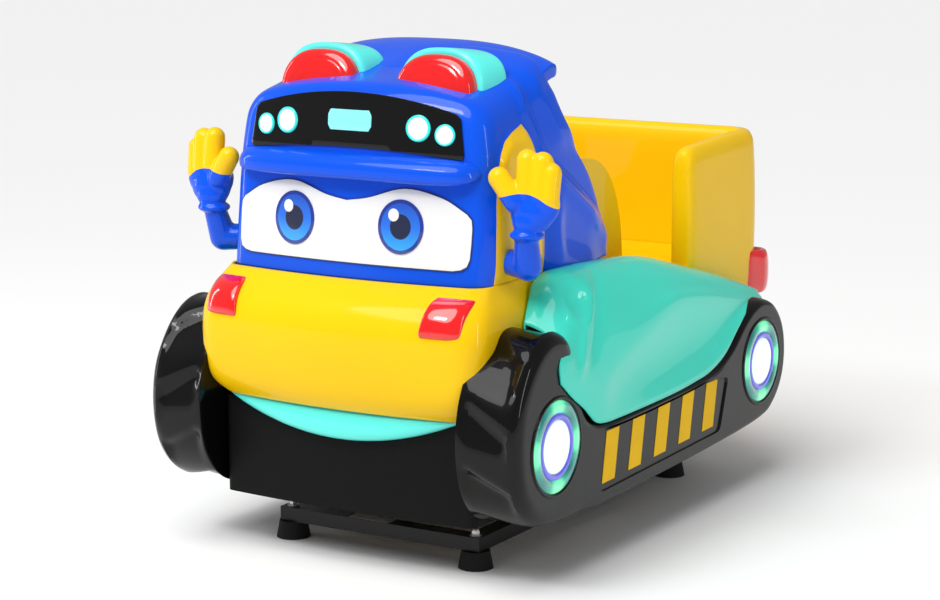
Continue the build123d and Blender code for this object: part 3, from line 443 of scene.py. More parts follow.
def loft(
    name: str, rings: Sequence[Sequence[Point]], finish: str, closed: bool = True, caps: bool = False,
) -> Piece:
    """Skin a row of rings that have the same number of points.

    Args:
        name: the piece's name.
        rings: the rings, from one end to the other.
        finish: a name in FINISHES.
        closed: whether each ring closes on itself.
        caps: whether the end rings are filled.
    Returns:
        The new object.
    """
    count = len(rings[0])
    verts = [p for ring in rings for p in ring]
    faces = []
    for row in range(len(rings) - 1):
        for i in range(count if closed else count - 1):
            j = (i + 1) % count
            faces.append((row * count + i, row * count + j, (row + 1) * count + j, (row + 1) * count + i))
    if caps:
        faces.append(tuple(range(count)))
        faces.append(tuple((len(rings) - 1) * count + i for i in range(count)))
    return new_piece(name, verts, faces, finish)


def subdivide(piece: Piece, levels: int = 2) -> None:
    """Smooth a cage by subdivision."""
    modifier = piece.modifiers.new("smooth", "SUBSURF")
    modifier.levels = levels
    modifier.render_levels = levels


def thicken(piece: Piece, wall: float = 0.005, offset: float = -1.0) -> None:
    """Give a skin a wall."""
    modifier = piece.modifiers.new("wall", "SOLIDIFY")
    modifier.thickness = wall
    modifier.offset = offset


def bevel(piece: Piece, width: float, segments: int = 3, angle: float = 35.0) -> None:
    """Round the sharp edges of a piece."""
    modifier = piece.modifiers.new("round", "BEVEL")
    modifier.width = width
    modifier.segments = segments
    modifier.limit_method = "ANGLE"
    modifier.angle_limit = math.radians(angle)
    modifier.harden_normals = False


def settle(piece: Piece) -> None:
    """Replace a piece's mesh by the result of its modifiers."""
    graph = bpy.context.evaluated_depsgraph_get()
    graph.update()
    mesh = bpy.data.meshes.new_from_object(piece.evaluated_get(graph))
    piece.modifiers.clear()
    piece.data = mesh


def mirrored(piece: Piece, name: str) -> Piece:
    """Copy a left-hand piece to the right-hand side."""
    mesh = piece.data.copy()
    for vertex in mesh.vertices:
        vertex.co.x = -vertex.co.x
    mesh.flip_normals()
    twin = bpy.data.objects.new(name, mesh)
    bpy.context.scene.collection.objects.link(twin)
    for modifier in piece.modifiers:
        copy = twin.modifiers.new(modifier.name, modifier.type)
        for prop in modifier.bl_rna.properties:
            if not prop.is_readonly and prop.identifier not in ("name", "type"):
                setattr(copy, prop.identifier, getattr(modifier, prop.identifier))
    return twin


def register(piece: Piece, slot: str, *nodes: str, body: str = BODY) -> Piece:
    """Tell the frame what a piece rides on and what it stands for: parent it to its body and hide those CAD
    nodes.

    Args:
        piece: the visible piece.
        slot: material slot of the record; not used.
        *nodes: the CAD nodes that it stands for.
        body: the CAD body it moves with.
    Returns:
        The same piece.
    """
    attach(piece, body)
    if nodes:
        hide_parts(*nodes)
    log.info("piece %s on %s stands for %s", piece.name, body, ", ".join(nodes) or "trim")
    return piece


def mix(low: float, high: float, part: float) -> float:
    """The value a part of the way from low to high."""
    return low + (high - low) * part


def spread(first: float, last: float, steps: int) -> list[float]:
    """Evenly spaced values from the first to the last."""
    return [mix(first, last, i / steps) for i in range(steps + 1)]


def ease(part: float) -> float:
    """Smooth step from nought to one."""
    part = min(1.0, max(0.0, part))
    return part * part * (3.0 - 2.0 * part)


def hump(away: float, spread: float) -> float:
    """Bell shape, one in its middle."""
    return math.exp(-((away / spread) ** 2))


def signed(value: float, power: float) -> float:
    """A value raised to a power, with its sign kept."""
    return math.copysign(abs(value) ** power, value)


def through(points: Sequence[Flat], at: float) -> float:
    """Smooth value at a place along a row of (place, value) points.

    Args:
        points: places in rising order, each with its value.
        at: the place asked for.
    Returns:
        The value, held level outside the row.
    """
    if at <= points[0][0]:
        return points[0][1]
    if at >= points[-1][0]:
        return points[-1][1]
    k = next(i for i in range(len(points) - 1) if points[i + 1][0] >= at)
    (x1, y1), (x2, y2) = points[k], points[k + 1]
    x0, y0 = points[max(k - 1, 0)]
    x3, y3 = points[min(k + 2, len(points) - 1)]
    slope1 = (y2 - y0) / (x2 - x0)
    slope2 = (y3 - y1) / (x3 - x1)
    t, span = (at - x1) / (x2 - x1), x2 - x1
    return (
        (2 * t**3 - 3 * t**2 + 1) * y1 + (t**3 - 2 * t**2 + t) * span * slope1
        + (-2 * t**3 + 3 * t**2) * y2 + (t**3 - t**2) * span * slope2
    )


def smooth_loop(points: Sequence[Flat], count: int) -> list[Vector]:
    """Evenly spaced points on a smooth closed curve through the given ones."""
    dense = []
    size = len(points)
    for k in range(size):
        p0, p1, p2, p3 = (Vector(points[(k + d) % size]) for d in (-1, 0, 1, 2))
        for step in range(16):
            t = step / 16
            dense.append(0.5 * (2 * p1 + (p2 - p0) * t + (2 * p0 - 5 * p1 + 4 * p2 - p3) * t**2
                                + (3 * p1 - p0 - 3 * p2 + p3) * t**3))
    lengths = [0.0]
    for a, b in zip(dense, dense[1:] + dense[:1]):
        lengths.append(lengths[-1] + (b - a).length)
    loop, k = [], 0
    for i in range(count):
        target = lengths[-1] * i / count
        while lengths[k + 1] < target:
            k += 1
        part = (target - lengths[k]) / (lengths[k + 1] - lengths[k])
        loop.append(dense[k].lerp(dense[(k + 1) % len(dense)], part))
    return loop


def arch(count: int, start: float = 0.0, end: float = 180.0) -> list[Flat]:
    """Unit circle points from one angle to another."""
    angles = [math.radians(mix(start, end, i / (count - 1))) for i in range(count)]
    return [(math.cos(a), math.sin(a)) for a in angles]


def panel(
    name: str, outline: Sequence[Flat], surface: Callable[[float, float], float], out: float, wall: float,
    finish: str, pitch: float = 0.012, soft: float = 0.0015,
) -> Piece:
    """A thin plate that follows a leaning, bowed surface.

    Args:
        name: the piece's name.
        outline: corners in (x, z).
        surface: gives y at (x, z).
        out: how far the plate's outer face stands in front of the surface.
        wall: the plate's thickness.
        finish: a name in FINISHES.
        pitch: spacing of the cuts that let the plate bend.
        soft: rounding of its rim.
    Returns:
        The new object.
    """
    work = bmesh.new()
    corners = [work.verts.new((x, 0.0, z)) for x, z in outline]
    work.faces.new(corners)
    for axis in (0, 2):
        low, high = min(v.co[axis] for v in corners), max(v.co[axis] for v in corners)
        for k in range(1, int((high - low) / pitch)):
            spot, normal = Vector((0, 0, 0)), Vector((0, 0, 0))
            spot[axis] = low + k * pitch
            normal[axis] = 1.0
            geometry = work.verts[:] + work.edges[:] + work.faces[:]
            bmesh.ops.bisect_plane(work, geom=geometry, plane_co=spot, plane_no=normal, dist=1e-5)
    for vertex in work.verts:
        vertex.co.y = surface(vertex.co.x, vertex.co.z) - out
    mesh = bpy.data.meshes.new(name)
    work.normal_update()
    if sum(f.normal.y for f in work.faces) > 0:
        bmesh.ops.reverse_faces(work, faces=work.faces)
    for face in work.faces:
        face.smooth = True
    work.to_mesh(mesh)
    work.free()
    mesh.materials.append(FINISHES[finish])
    piece = bpy.data.objects.new(name, mesh)
    bpy.context.scene.collection.objects.link(piece)
    thicken(piece, wall)
    if soft:
        bevel(piece, soft, 2, 50.0)
    return piece


def disc(
    name: str, centre: Point, axis: Point, profile: Sequence[Flat], finish: str, count: int = 48,
) -> Piece:
    """A turned piece: (radius, height) profile about an axis.

    Args:
        name: the piece's name.
        centre: a point on the axis at height nought.
        axis: the axis, along which heights rise.
        profile: (radius, height) points from the centre out and round.
        finish: a name in FINISHES.
        count: points round the axis.
    Returns:
        The new object.
    """
    up = Vector(axis).normalized()
    side = up.cross(Vector((0, 0, 1)) if abs(up.z) < 0.9 else Vector((1, 0, 0))).normalized()
    other = up.cross(side)
    rings = []
    for radius, height in profile:
        rings.append([
            tuple(Vector(centre) + up * height + (side * math.cos(a) + other * math.sin(a)) * radius)
            for a in (2 * math.pi * k / count for k in range(count))
        ])
    return loft(name, rings, finish)


# ------------------------------------------------------------------ front surfaces
@dataclass(frozen=True)
class Plan:
    """Plan outline with a bowed front and round corners."""

    half: float
    front: float
    bow: float
    corner: float
    rear: float
    rear_corner: float = 0.02

    def front_y(self, x: float) -> float:
        """Depth of the front at a place across."""
        y = self.front + self.bow * (x / self.half) ** 2
        over = abs(x) - (self.half - self.corner)
        if over > 0:
            over = min(over, self.corner * 0.999)
            y += self.corner - math.sqrt(self.corner**2 - over**2)
        return y

    def half_ring(self, fronts: int, corners: int, sides: int, rears: int) -> list[Flat]:
        """Left half of the outline from the middle of the front to the middle of the rear."""
        flat = self.half - self.corner
        ring = [(flat * i / fronts, self.front_y(flat * i / fronts)) for i in range(fronts)]
        start = self.front_y(flat)
        for i in range(corners):
            a = math.radians(90 * i / corners)
            ring.append((flat + self.corner * math.sin(a), start + self.corner * (1 - math.cos(a))))
        low, high = start + self.corner, self.rear - self.rear_corner
        ring += [(self.half, mix(low, high, i / sides)) for i in range(sides)]
        inner = self.half - self.rear_corner
        for i in range(corners):
            a = math.radians(90 * i / corners)
            ring.append((inner + self.rear_corner * math.cos(a), high + self.rear_corner * math.sin(a)))
        ring += [(inner * (1 - i / rears), self.rear) for i in range(rears + 1)]
        return ring

    def ring(self, fronts: int, corners: int, sides: int, rears: int) -> list[Flat]:
        """The whole closed outline."""
        left = self.half_ring(fronts, corners, sides, rears)
        return left + [(-x, y) for x, y in reversed(left[1:-1])]


@dataclass
class Cab:
    """Blue upper body with visor, brow, windscreen and the leaf on its sides."""

    low: float = 0.607
    half: tuple[Flat, ...] = (
        (0.60, 0.313), (0.72, 0.311), (0.85, 0.306), (0.95, 0.292), (1.02, 0.276), (1.08, 0.262),
    )
    front: tuple[Flat, ...] = ((0.60, -0.620), (1.09, -0.578))
    rear: tuple[Flat, ...] = (
        (0.60, -0.064), (0.69, -0.080), (0.785, -0.128), (0.862, -0.200), (0.94, -0.258),
        (1.00, -0.276), (1.06, -0.262),
    )
    roof: tuple[Flat, ...] = (
        (-0.64, 0.984), (-0.56, 0.998), (-0.44, 1.022), (-0.34, 1.056), (-0.28, 1.071),
        (-0.25, 1.064), (-0.20, 1.03),
    )
    rib: tuple[Flat, ...] = (
        (0.60, -0.33), (0.74, -0.335), (0.84, -0.352), (0.92, -0.392), (1.0, -0.44), (1.05, -0.46),
    )
    shoulder: float = 0.05
    bow: float = 0.033
    corner: float = 0.045
    rings: int = 24
    pole: float = 0.0005

    def front_y(self, x: float, z: float) -> float:
        """Depth of the cab's front at a place."""
        return self.plan(z).front_y(x)

    def plan(self, z: float) -> Plan:
        """Plan outline at a height."""
        lean = mix(self.front[0][1], self.front[1][1], (z - 0.606) / 0.484)
        return Plan(through(self.half, z), lean, self.bow, self.corner, through(self.rear, z), 0.03)

    def crown(self, x: float, y: float) -> float:
        """Height of the roof at a place."""
        side = 0.030 + 0.012 * ease((-0.3 - y) / 0.25)
        return through(self.roof, y) - side * (abs(x) / 0.29) ** 2.6

    def bulge(self, y: float, z: float) -> float:
        """How far the cab's side stands out: front pillar, sunk leaf, folded pod and roof crease.

        Args:
            y: place along the ride.
            z: height.
        Returns:
            Metres outwards.
        """
        leaf_front = through(LEAF_FRONT, z) - SHIFT
        leaf_rear = through(LEAF_REAR, z) - SHIFT
        inside = ease((y - leaf_front + 0.004) / 0.016) * ease((leaf_rear + 0.004 - y) / 0.016)
        sunk = 0.013 * inside * ease((0.915 - z) / 0.03) * ease((z - 0.610) / 0.035)
        crest = 0.80 - 0.62 * (y + 0.30)
        pod = ease((y - leaf_rear) / 0.035) * ease((crest + 0.035 - z) / 0.05)
        fade = 1.0 - 0.62 * ease((y + 0.20) / 0.11)
        fold = 0.010 * hump(z - crest + 0.02, 0.018) * ease((y - leaf_rear) / 0.04)
        waist = 0.012 * hump(z - 0.66 + 0.3 * (y + 0.2), 0.045) * ease((y - leaf_rear - 0.02) / 0.05)
        rib_y = through(self.rib, z)
        rib = 0.009 * hump(y - rib_y, 0.014) * ease((z - 0.80) / 0.05)
        tail = 0.016 * ease((z - 0.84) / 0.05) * ease((y - rib_y - 0.03) / 0.06) * ease((1.01 - z) / 0.04)
        return (0.030 * pod + fold) * fade - waist * fade + rib + tail - sunk

    def point(self, spot: Flat, z: float) -> Point:
        """A point of the wall, pushed out by the bulge on its sides."""
        x, y = spot
        share = ease((abs(x) / through(self.half, z) - 0.8) / 0.18)
        push = self.bulge(y, z) * share
        return (x + math.copysign(push, x), y, z)

    def shell(self) -> Piece:
        """Walls, rounded shoulders and roof in one skin."""
        counts = (8, 4, 34, 8)
        rings = []
        for k in range(self.rings):
            part = k / (self.rings - 1)
            ring = []
            for index, (x, y) in enumerate(self.plan(mix(self.low, 0.97, part)).ring(*counts)):
                top = self.crown(x, y) - self.shoulder
                z = mix(self.low, top, part)
                spot = self.plan(z).ring(*counts)[index]
                ring.append(self.point(spot, z))
            rings.append(ring)
        edge = rings[-1]
        middle = Vector((0.0, -0.42))
        for angle in (25, 50, 75):
            a = math.radians(angle)
            ring = []
            for x, y, z in edge:
                flat = Vector((x, y))
                inward = (middle - flat).normalized() * self.shoulder * (1 - math.cos(a))
                spot = flat + inward
                ring.append((spot.x, spot.y, self.crown(spot.x, spot.y) - self.shoulder * (1 - math.sin(a))))
            rings.append(ring)
        last = rings[-1]
        for part in (0.15, 0.35, 0.55, 0.75, 0.9):
            ring = []
            for x, y, _ in last:
                spot = Vector((x, y)).lerp(middle, part)
                ring.append((spot.x, spot.y, self.crown(spot.x, spot.y)))
            rings.append(ring)
        piece = loft("cab", rings, "cab_paint")
        work = bmesh.new()
        work.from_mesh(piece.data)
        open_edges = [e for e in work.edges if e.is_boundary and e.verts[0].co.z > 0.9]
        bmesh.ops.holes_fill(work, edges=open_edges)
        work.to_mesh(piece.data)
        work.free()
        for polygon in piece.data.polygons:
            polygon.use_smooth = True
        subdivide(piece)
        thicken(piece)
        return piece

    def brow(self) -> Piece:
        """Rounded ledge over the windscreen, thin at both ends."""
        rings = []
        for i in range(41):
            u = mix(-1.0, 1.0, i / 40)
            x = 0.293 * u
            end = max(0.02, 1.0 - abs(u) ** 10)
            depth, height = 0.042 * math.sqrt(end), 0.0235 * math.sqrt(end)
            middle = 0.836 - 0.004 * u * u
            base = self.front_y(min(max(x, -0.290), 0.290), middle) + 0.012
            ring = []
            for c, s in arch(18, -90.0, 90.0):
                out = (depth + 0.012) * abs(c) ** 0.55
                rise = height * signed(s, 0.62)
                ring.append((x, base - out, middle + rise - 0.007 * c + 0.006 * (s > 0) * (1 - c)))
            rings.append(ring)
        piece = loft("brow_ledge", rings, "blue", caps=True)
        subdivide(piece, 1)
        return piece

    def spoiler(self) -> Piece:
        """Rounded hump over the rear of the roof that overhangs the back slope."""
        rings = []
        for i in range(37):
            u = math.sin(math.radians(mix(-90.0, 90.0, i / 36)))
            x = 0.287 * u
            end = math.sqrt(max(0.30, 1.0 - abs(u) ** 16))
            top = 1.0715 - 0.034 * (abs(x) / 0.267) ** 2.8
            thick = 0.052 * end
            low = top - thick - 0.004 * (1 - end)
            nose = -0.455 + 0.035 * abs(u) ** 3
            ring = []
            for k in range(24):
                a = 2 * math.pi * k / 24
                c, s = math.cos(a), math.sin(a)
                if c >= 0:
                    y = -0.272 + 0.034 * end * c ** 0.8
                    z = (top + low) / 2 + thick / 2 * signed(s, 0.75)
                else:
                    y = mix(-0.272, nose, -c)
                    drop = 0.062 * ease(-c) * (0.55 + 0.45 * abs(u))
                    z = (top + low) / 2 + thick / 2 * signed(s, 0.8) - drop
                ring.append((x, y, z))
            rings.append(ring)
        piece = loft("roof_hump", rings, "blue", caps=True)
        subdivide(piece, 1)
        return piece

    def visor_outline(self, grow: float = 0.0) -> list[Flat]:
        """Arched outline of the dark visor."""
        top = [(x, 0.984 - 0.036 * (x / 0.242) ** 2) for x in spread(0.236, -0.236, 24)]
        low = [(x, 0.8725 - 0.0145 * (x / 0.256) ** 2) for x in spread(-0.250, 0.250, 24)]
        left = [(-0.2465, 0.940), (-0.2485, 0.930), (-0.2575, 0.870), (-0.2560, 0.861)]
        right = [(-x, z) for x, z in reversed(left)]
        outline = top + left + low + right
        return [(x * (1 + grow / 0.25), 0.92 + (z - 0.92) * (1 + grow / 0.06)) for x, z in outline]

    def screen_outline(self, grow: float = 0.0) -> list[Flat]:
        """Windscreen outline with a gently waved top and round lower corners."""
        wave = ((0.0, 0.766), (0.05, 0.774), (0.135, 0.797), (0.22, 0.781), (0.272, 0.752))
        top = [(x, through(wave, abs(x))) for x in spread(0.270, -0.270, 40)]
        side = [(-0.279, 0.742), (-0.281, 0.725), (-0.2805, 0.69)]
        side += [(-0.279, 0.664), (-0.274, 0.650), (-0.262, 0.643)]
        low = [(x, 0.641 - 0.001 * (x / 0.26) ** 2) for x in spread(-0.245, 0.245, 20)]
        right = [(-x, z) for x, z in reversed(side)]
        outline = top + side + low + right
        return [(x * (1 + grow / 0.28), 0.715 + (z - 0.715) * (1 + grow / 0.075)) for x, z in outline]

    def eye(self, side: Side) -> list[Piece]:
        """A printed disc and its single highlight."""
        centre = 0.129 * side.value
        rim = [(centre + 0.051 * c, 0.721 + 0.055 * s) for c, s in arch(49, 0.0, 352.5)]
        spark = [(centre - 0.016 + 0.012 * c, 0.744 + 0.013 * s) for c, s in arch(25, 0.0, 345.0)]
        return [
            panel(f"eye_{side.word}", rim, self.front_y, 0.0062, 0.0022, "eye_print", 0.01),
            panel(f"eye_spark_{side.word}", spark, self.front_y, 0.0070, 0.0022, "white", 0.01, 0.0005),
        ]

    def lamp(self, name: str, x: float, z: float, radius: float) -> list[Piece]:
        """Domed lamp with a coloured rim, square to the visor."""
        slope = (self.front_y(x + 0.01, z) - self.front_y(x - 0.01, z)) / 0.02
        lean = (self.front_y(x, z + 0.01) - self.front_y(x, z - 0.01)) / 0.02
        axis = Vector((slope, -1.0, lean)).normalized()
        base = (x, self.front_y(x, z) - 0.0035, z)
        dome = ((0.0, 0.0075), (0.4, 0.0068), (0.7, 0.005), (0.82, 0.003), (0.84, 0.0))
        rim = ((0.83, 0.0), (0.84, 0.0042), (0.92, 0.0050), (1.0, 0.0030), (1.02, 0.0))
        dome = [(max(radius * share, self.pole), rise) for share, rise in dome]
        rim = [(radius * share, rise) for share, rise in rim]
        lens = disc(f"{name}_lens", base, axis, dome, "lamp_white")
        ring = disc(f"{name}_rim", base, axis, rim, "lamp_rim")
        return [lens, ring]

    def build(self) -> None:
        """Make every piece of the cab's front and register them."""
        register(self.shell(), "blue_gelcoat", "cab_shell")
        register(self.brow(), "blue_gelcoat")
        register(self.spoiler(), "blue_gelcoat")
        visor = panel("visor", self.visor_outline(), self.front_y, 0.0040, 0.0037, "visor_black", soft=0.0012)
        register(visor, "black_gelcoat", "visor_panel")
        edge = panel("screen_edge", self.screen_outline(0.0022), self.front_y, 0.0030, 0.0027, "navy")
        register(edge, "eye_blue")
        screen = panel("screen", self.screen_outline(), self.front_y, 0.0042, 0.0035, "white", soft=0.0008)
        register(screen, "white_vinyl", "windscreen")
        eyes = self.eye(Side.LEFT) + self.eye(Side.RIGHT)
        register(eyes[0], "eye_blue", "eye_discs")
        for piece in eyes[1:]:
            register(piece, "eye_blue" if "spark" not in piece.name else "white_vinyl")
        lamps = []
        for side in Side:
            lamps += self.lamp(f"headlamp_outer_{side.word}", 0.216 * side.value, 0.907, 0.0215)
            lamps += self.lamp(f"headlamp_inner_{side.word}", 0.158 * side.value, 0.918, 0.0265)
        register(lamps[0], "lamp_white", "headlamps")
        for piece in lamps[1:]:
            register(piece, "lamp_white")
        right = [(0.046, 0.906), (0.052, 0.916), (0.052, 0.938), (0.046, 0.948)]
        badge = right + [(-x, z) for x, z in reversed(right)]
        lozenge = panel("visor_lozenge", badge, self.front_y, 0.0062, 0.0030, "badge", soft=0.0012)
        register(lozenge, "badge_cyan", "visor_badge")


@dataclass
class Muzzle:
    """Yellow lower face, its marker lamps and the chin lip."""

    sections: tuple[tuple[float, float, float, float, float], ...] = (
        (0.343, 0.303, -0.664, 0.028, 0.050),
        (0.360, 0.322, -0.680, 0.027, 0.053),
        (0.385, 0.337, -0.693, 0.026, 0.057),
        (0.420, 0.343, -0.701, 0.028, 0.062),
        (0.460, 0.346, -0.706, 0.030, 0.066),
        (0.500, 0.347, -0.707, 0.030, 0.070),
        (0.530, 0.345, -0.703, 0.030, 0.072),
        (0.560, 0.338, -0.690, 0.031, 0.068),
        (0.585, 0.326, -0.665, 0.032, 0.056),
        (0.606, 0.315, -0.632, 0.033, 0.047),
    )
    rear: float = -0.33

    def plan(self, z: float) -> Plan:
        """Plan outline at a height."""
        row = [through([(s[0], s[k]) for s in self.sections], z) for k in range(1, 5)]
        return Plan(*row, rear=self.rear)

    def front_y(self, x: float, z: float) -> float:
        """Depth of the face at a place."""
        return self.plan(z).front_y(x)

    def shell(self) -> Piece:
        """The bulging face as an open-backed skin."""
        rings = []
        heights = [mix(0.343, 0.6095, i / 16) for i in range(17)]
        for z in heights:
            left = [p for p in self.plan(z).half_ring(7, 5, 6, 2) if p[1] <= self.rear - 0.015]
            whole = [(-x, y) for x, y in reversed(left[1:])] + left
            rings.append([(x, y, z) for x, y in whole])
        piece = loft("face", rings, "yellow", closed=False)
        subdivide(piece)
        thicken(piece)
        return piece

    def marker(self) -> Piece:
        """Left marker lamp, a rounded wedge on the corner of the face."""
        rings = []
        for i in range(15):
            v = mix(-1.0, 1.0, i / 14)
            z = 0.5545 + 0.0375 * v
            near, far = mix(0.2205, 0.2300, (v + 1) / 2), mix(0.3080, 0.3120, (v + 1) / 2)
            squeeze = math.sqrt(max(0.02, 1 - abs(v) ** 7))
            ring = []
            for c, s in arch(17):
                x = (near + far) / 2 - (far - near) / 2 * signed(c, 0.6) * mix(0.9, 1.0, squeeze)
                proud = (0.010 + 0.013 * (v + 1) / 2) * squeeze * s ** 0.35
                ring.append((x, self.front_y(x, z) + 0.003 - proud, z))
            rings.append(ring)
        piece = loft("marker_left", rings, "red_lens", closed=False)
        subdivide(piece, 1)
        return piece

    def chin(self) -> Piece:
        """Crescent lip under the face."""
        top, drop, half = 0.346, 0.070, 0.296
        rings = []
        for i in range(49):
            u = mix(-1.0, 1.0, i / 48)
            x = half * u
            height = max(0.0015, drop * (1 - u * u))
            back = -0.6355 + 0.0155 * (x / 0.307) ** 2
            proud = 0.017 * math.sqrt(max(0.02, 1 - u**6)) + 0.012 * (1 - u * u)
            ring = []
            for c, s in arch(13, -90.0, 90.0):
                y = back + 0.004 - (proud + 0.004) * abs(c) ** 0.55
                ring.append((x, y, top - height / 2 + height / 2 * s))
            rings.append(ring)
        piece = loft("chin_lip", rings, "cyan", caps=True)
        subdivide(piece, 1)
        return piece

    def build(self) -> None:
        """Make and register the pieces."""
        register(self.shell(), "yellow_gelcoat", "face_shell")
        register(self.chin(), "cyan_gelcoat", "chin_strip")
        left = self.marker()
        register(left, "red_lens", "indicators")
        register(mirrored(left, "marker_right"), "red_lens")


@dataclass
class RoofLamp:
    """Red roof lamp with stepped rings and the fairing behind it."""

    centre: float = 0.140
    foot: float = 0.968
    width: float = 0.088
    top: float = 1.058
    front: float = -0.526
    back: float = -0.478
    tail: float = -0.398

    def lens(self) -> Piece:
        """Arched lens with three raised rings."""
        rings = []
        steps = (0.02, 0.22, 0.40, 0.43, 0.46, 0.60, 0.63, 0.66, 0.78, 0.81, 0.84, 0.92, 0.98, 1.0)
        depth = (
            0.0, 0.001, 0.003, 0.005, 0.0045, 0.007, 0.0092,
            0.0085, 0.012, 0.0148, 0.0148, 0.019, 0.028, 0.040,
        )
        for r, d in zip(steps, depth):
            ring = []
            for c, s in arch(33):
                x = self.centre + self.width * r * signed(c, 0.8) * (1.0 + 0.05 * (1 - s))
                z = self.foot + (self.top - self.foot) * r * s**0.72
                ring.append((x, self.front + 0.6 * d + 0.016 * s * r, z))
            rings.append(ring)
        rings.append([(x, self.back, z) for x, _, z in rings[-1]])
        piece = loft("lamp_lens_left", rings, "red_lens", closed=False)
        subdivide(piece, 1)
        return piece

    def cowl(self) -> Piece:
        """Fairing that carries the lens and falls to the roof behind it."""
        rings = []
        shapes = (
            (0.0, 0.98, 0.97), (0.0, 1.06, 1.08), (0.06, 1.1, 1.12), (0.2, 1.12, 1.13), (0.5, 1.15, 1.11),
            (0.8, 1.18, 1.08), (0.93, 1.19, 1.06), (0.985, 1.17, 1.03), (1.0, 1.1, 0.97), (1.0, 0.5, 0.6),
        )
        for part, wide, tall in shapes:
            y = mix(self.back - 0.004, self.tail, part)
            ring = []
            for c, s in arch(33):
                square = signed(c, mix(0.8, 0.55, part))
                x = self.centre + self.width * wide * square * (1.0 + 0.06 * (1 - s)) + 0.004 * part
                z = self.foot + (self.top - self.foot) * tall * s ** mix(0.72, 0.45, part)
                ring.append((x, y + (0.010 * s if part < 0.1 else 0.0), z))
            rings.append(ring)
        piece = loft("lamp_cowl_left", rings, "cyan", closed=False)
        subdivide(piece, 2)
        return piece

    def build(self) -> None:
        """Make and register both sides."""
        lens, cowl = self.lens(), self.cowl()
        register(lens, "red_lens", "siren_lenses")
        register(cowl, "cyan_gelcoat", "siren_cowls")
        register(mirrored(lens, "lamp_lens_right"), "red_lens")
        register(mirrored(cowl, "lamp_cowl_right"), "cyan_gelcoat")


